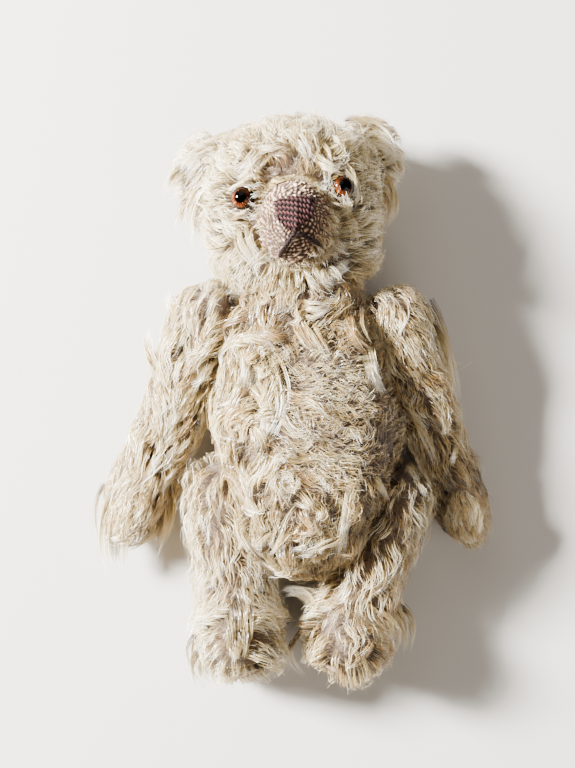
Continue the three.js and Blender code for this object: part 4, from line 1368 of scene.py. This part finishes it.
def amberGlass():
    # streaks round the iris, times the pupil and the dark rim, times a painted shade over the top of the iris
    material, tree, shader = newMaterial("amber_glass_bead")
    uvMap = addNode(tree, "UVMap", settings={"uv_map": "UVMap"})
    parts = addNode(tree, "SeparateXYZ", {"Vector": uvMap}).node.outputs
    streaks = addNode(tree, "CombineXYZ", {"X": parts["X"]})
    rays = addNode(tree, "TexNoise", {
        "Vector": streaks, "Scale": 14.0, "Detail": 4.0, "Roughness": 0.7})
    # the third ramp is the painted shade over the top of the iris
    iris, outwards, paintedTopShade = [
        addNode(tree, "ValToRGB", {"Fac": source}, stops=eyeLook[key])
        for key, source in (("iris", rays), ("outwards", parts["Y"]), ("round", parts["X"]))]
    inner = addNode(tree, "Mix", {"Factor": 1.0, 6: paintedTopShade, 7: outwards}, multiplied, out=2)
    colour = addNode(tree, "Mix", {"Factor": 1.0, 6: iris, 7: inner}, multiplied, out=2)
    setInputs(tree, shader, {
        "Base Color": colour, "Roughness": 0.25, "IOR": 1.52, "Specular IOR Level": 0.0,
        "Coat Weight": 0.5, "Coat Roughness": 0.02, "Coat IOR": 1.4})
    return material


def makeEye(side, material):
    # a ball by rows of rings from the front pole to the back one, a little flattened front to back
    look = eyeLook
    node = f"eye_{side}"
    low, high = cornersOf(node)
    centre = (low + high) / 2
    centre[2] = high[2] - (look["radius"] * look["flat"] + look["sink"][side]) * mm
    outwards = centre - headMiddle
    outwards[2] = 0
    axis = unit(up + look["turn"] * unit(outwards))
    across = unit(np.cross(axis, np.array([0.0, 1.0, 0.0])))
    lift = np.cross(axis, across)
    theta = np.linspace(0, np.pi, look["rows"])[:, None]
    phi = np.linspace(0, 2 * np.pi, look["sides"] + 1)[None]
    r = look["radius"] * mm
    points = (centre + (np.sin(theta) * np.cos(phi))[..., None] * across * r
              + (np.sin(theta) * np.sin(phi))[..., None] * lift * r
              + (np.cos(theta) + 0 * phi)[..., None] * axis * r * look["flat"])
    faces = gridFaces(look["rows"], look["sides"] + 1, False)
    uvGrid = np.stack(np.broadcast_arrays(phi / (2 * np.pi), theta / np.pi), axis=-1).reshape(-1, 2)
    eye = makeObject(f"glassEye_{side}", points.reshape(-1, 3), faces, uvGrid[faces.ravel()])
    faceOutwards(eye)
    shadeSmooth(eye.data)
    settle(eye, material, "head", node)


# felt pads; on the paws, under the pile that has crept over them

def woolFelt():
    # matted fibres, rubbed paler in patches
    material, tree, shader = newMaterial("worn_wool_felt")
    place = addNode(tree, "TexCoord", out="Object")
    matted = addNode(tree, "TexNoise", {
        "Vector": place, "Scale": 1400.0, "Detail": 5.0, "Roughness": 0.7, "Distortion": 1.5})
    worn = addNode(tree, "TexNoise", {"Vector": place, "Scale": 220.0, "Detail": 3.0})
    fibre = addNode(tree, "ValToRGB", {"Fac": matted}, stops=[(0.3, "#4a392d"), (0.65, "#7d6650")])
    colour = addNode(tree, "Mix", {"Factor": worn, 6: fibre, 7: "#93795f"}, mixed, out=2)
    bump = addNode(tree, "Bump", {"Strength": 0.6, "Distance": 0.15 * mm, "Height": matted})
    setInputs(tree, shader, {
        "Base Color": colour, "Normal": bump, "Roughness": 0.95, "Sheen Weight": 0.3})
    return material


def makePad(node, body, material):
    pad = evenCopy(node.replace("pad", "felt"), node, 0.55, 4)
    settle(pad, material, body, node)
    return pad


padLook = {
    "mix": 0.14, "guides": 40, "locks": 90, "segments": 4, "guideSteps": 8, "width": 0.19, "waveGroup": 8,
    "height": 1.6, "lift": 40, "gather": 0.3, "curl": 0.3, "frizz": 0.45, "down": 0.3, "rise": 2.0,
}
padCover = {
    # strands, shade, seed
    "left": (350, 0.6, 500),
    "right": (1300, 0.5, 510),
}


def coverPad(pad, side):
    # pile from the paw's edge has matted down over the felt
    strands, shade, seed = padCover[side]
    down = downFrom(f"shoulder_{side}_swing")
    growPile(f"padPile_{side}", pad, f"arm_{side}", {**padLook, "strands": strands}, lambda p, n: down,
             lambda p, f: smooth(f[:, 2], -0.1, 0.4), evenly(9.0), evenly(shade), seed)


def loosenThreads():
    # two thin dark threads left from an old mend, lying in curls on the pile of one ear
    spots = np.array([(-31.7, 14.2, 4), (-29, 15.9, 5), (-25.7, 13.9, 5), (-22.4, 15.5, 4)]) * mm
    spots[:, :2] += headMiddle[:2]
    spots[:, 2] += 29 * mm
    t = np.linspace(0, 1, 60)
    paths = []
    for number in range(2):
        course = np.array([np.interp(t, np.linspace(0, 1, 4), spots[:, i]) for i in range(3)]).T
        turn = 2 * np.pi * (2.2 + number) * t + number
        curl = np.stack([np.sin(turn), np.cos(turn) * 1.2, np.sin(2 * turn) * 0.3], axis=1)
        curl = curl * (1.2 - 0.4 * number) * mm
        paths.append(course + curl + number * np.array([1.5, -2.5, 0]) * mm)
    threads = ropes("looseThreads", np.array(paths), 0.14 * mm, 6, 1.0 * mm, 0.2)
    settle(threads, spunThread("mending_thread", "#1d1512", "#3d2f28", "#6b5a4d"), "head")


muzzleFuzz = {
    "mix": 0.1, "guides": 60, "locks": 160, "strands": 1500, "segments": 3, "guideSteps": 8, "width": 0.15,
    "waves": 0.6, "waveGroup": 8, "stray": 0.5, "height": 1.6, "droop": 0.3, "hold": 0.4, "gather": 0.3,
    "curl": 0.3, "frizz": 0.35, "down": 0.4, "rise": 1.5,
}


def fuzzMuzzle(muzzle):
    # short pile creeps over the rim, most of it on the right and below
    place = inBox("muzzle_cloth")

    def thickness(p, facing):
        s = place(p)
        rim = smooth(np.linalg.norm(s[:, :2], axis=1), 0.72, 0.95)
        return rim * 0.6 + 1.2 * smooth(s[:, 0] - 0.5 * s[:, 1], 0.45, 0.9) + 0.02

    def length(p):
        return 3.0 + 3.0 * smooth(place(p)[:, 0], 0.2, 0.8)

    def comb(p, normal):
        return unit(p - muzzleMiddle) * np.array([1, 1, 0.3]) + np.array([0.3, -0.4, 0])

    growPile("muzzleFuzz", muzzle, "head", muzzleFuzz, comb, thickness, length, evenly(0.62), 300)


fuzzMuzzle(makeMuzzle())
makeNose()
makeMouth()
loosenThreads()
glass = amberGlass()
felt = woolFelt()
for side in ("left", "right"):
    makeEye(side, glass)
    paw = makePad(f"paw_pad_{side}", f"arm_{side}", felt)
    coverPad(paw, side)
    makePad(f"foot_pad_{side}", f"leg_{side}", felt)
print("face and pads made")


# hidden filling and joints keep their CAD shapes: packed curled shavings (a bent, straw-coloured
# noise), pressed chips, and drawn wire and sheet with a little rust

woodWool = grainy("packed_wood_wool", {"Scale": 240.0, "Detail": 2.0, "Distortion": 6.0},
                  [(0.35, "#9b7d4c"), (0.65, "#e2c88f")], {"Roughness": 0.8}, (0.9, 0.6))
hardboard = grainy("pressed_hardboard", {"Scale": 900.0, "Detail": 4.0},
                   [(0.35, "#4b3322"), (0.7, "#8a6645")], {"Roughness": 0.65})
steel = grainy("drawn_steel", {"Scale": 500.0, "Detail": 4.0},
               [(0.45, "#a9a7a3"), (0.75, "#7a5a42")], {"Metallic": 1.0, "Roughness": 0.38})
hidden = {"stuffing": woodWool, "disc": hardboard, "washer": steel, "cotter": steel}
for name, node in frame["nodes"].items():
    for word, material in hidden.items():
        if word in name:
            node.data.materials.clear()
            node.data.materials.append(material)

made = [o for o in bpy.data.objects if o.type == "MESH" and o.name not in frame["nodes"]]
print("triangles added:", sum(len(o.data.loops) - 2 * len(o.data.polygons) for o in made))
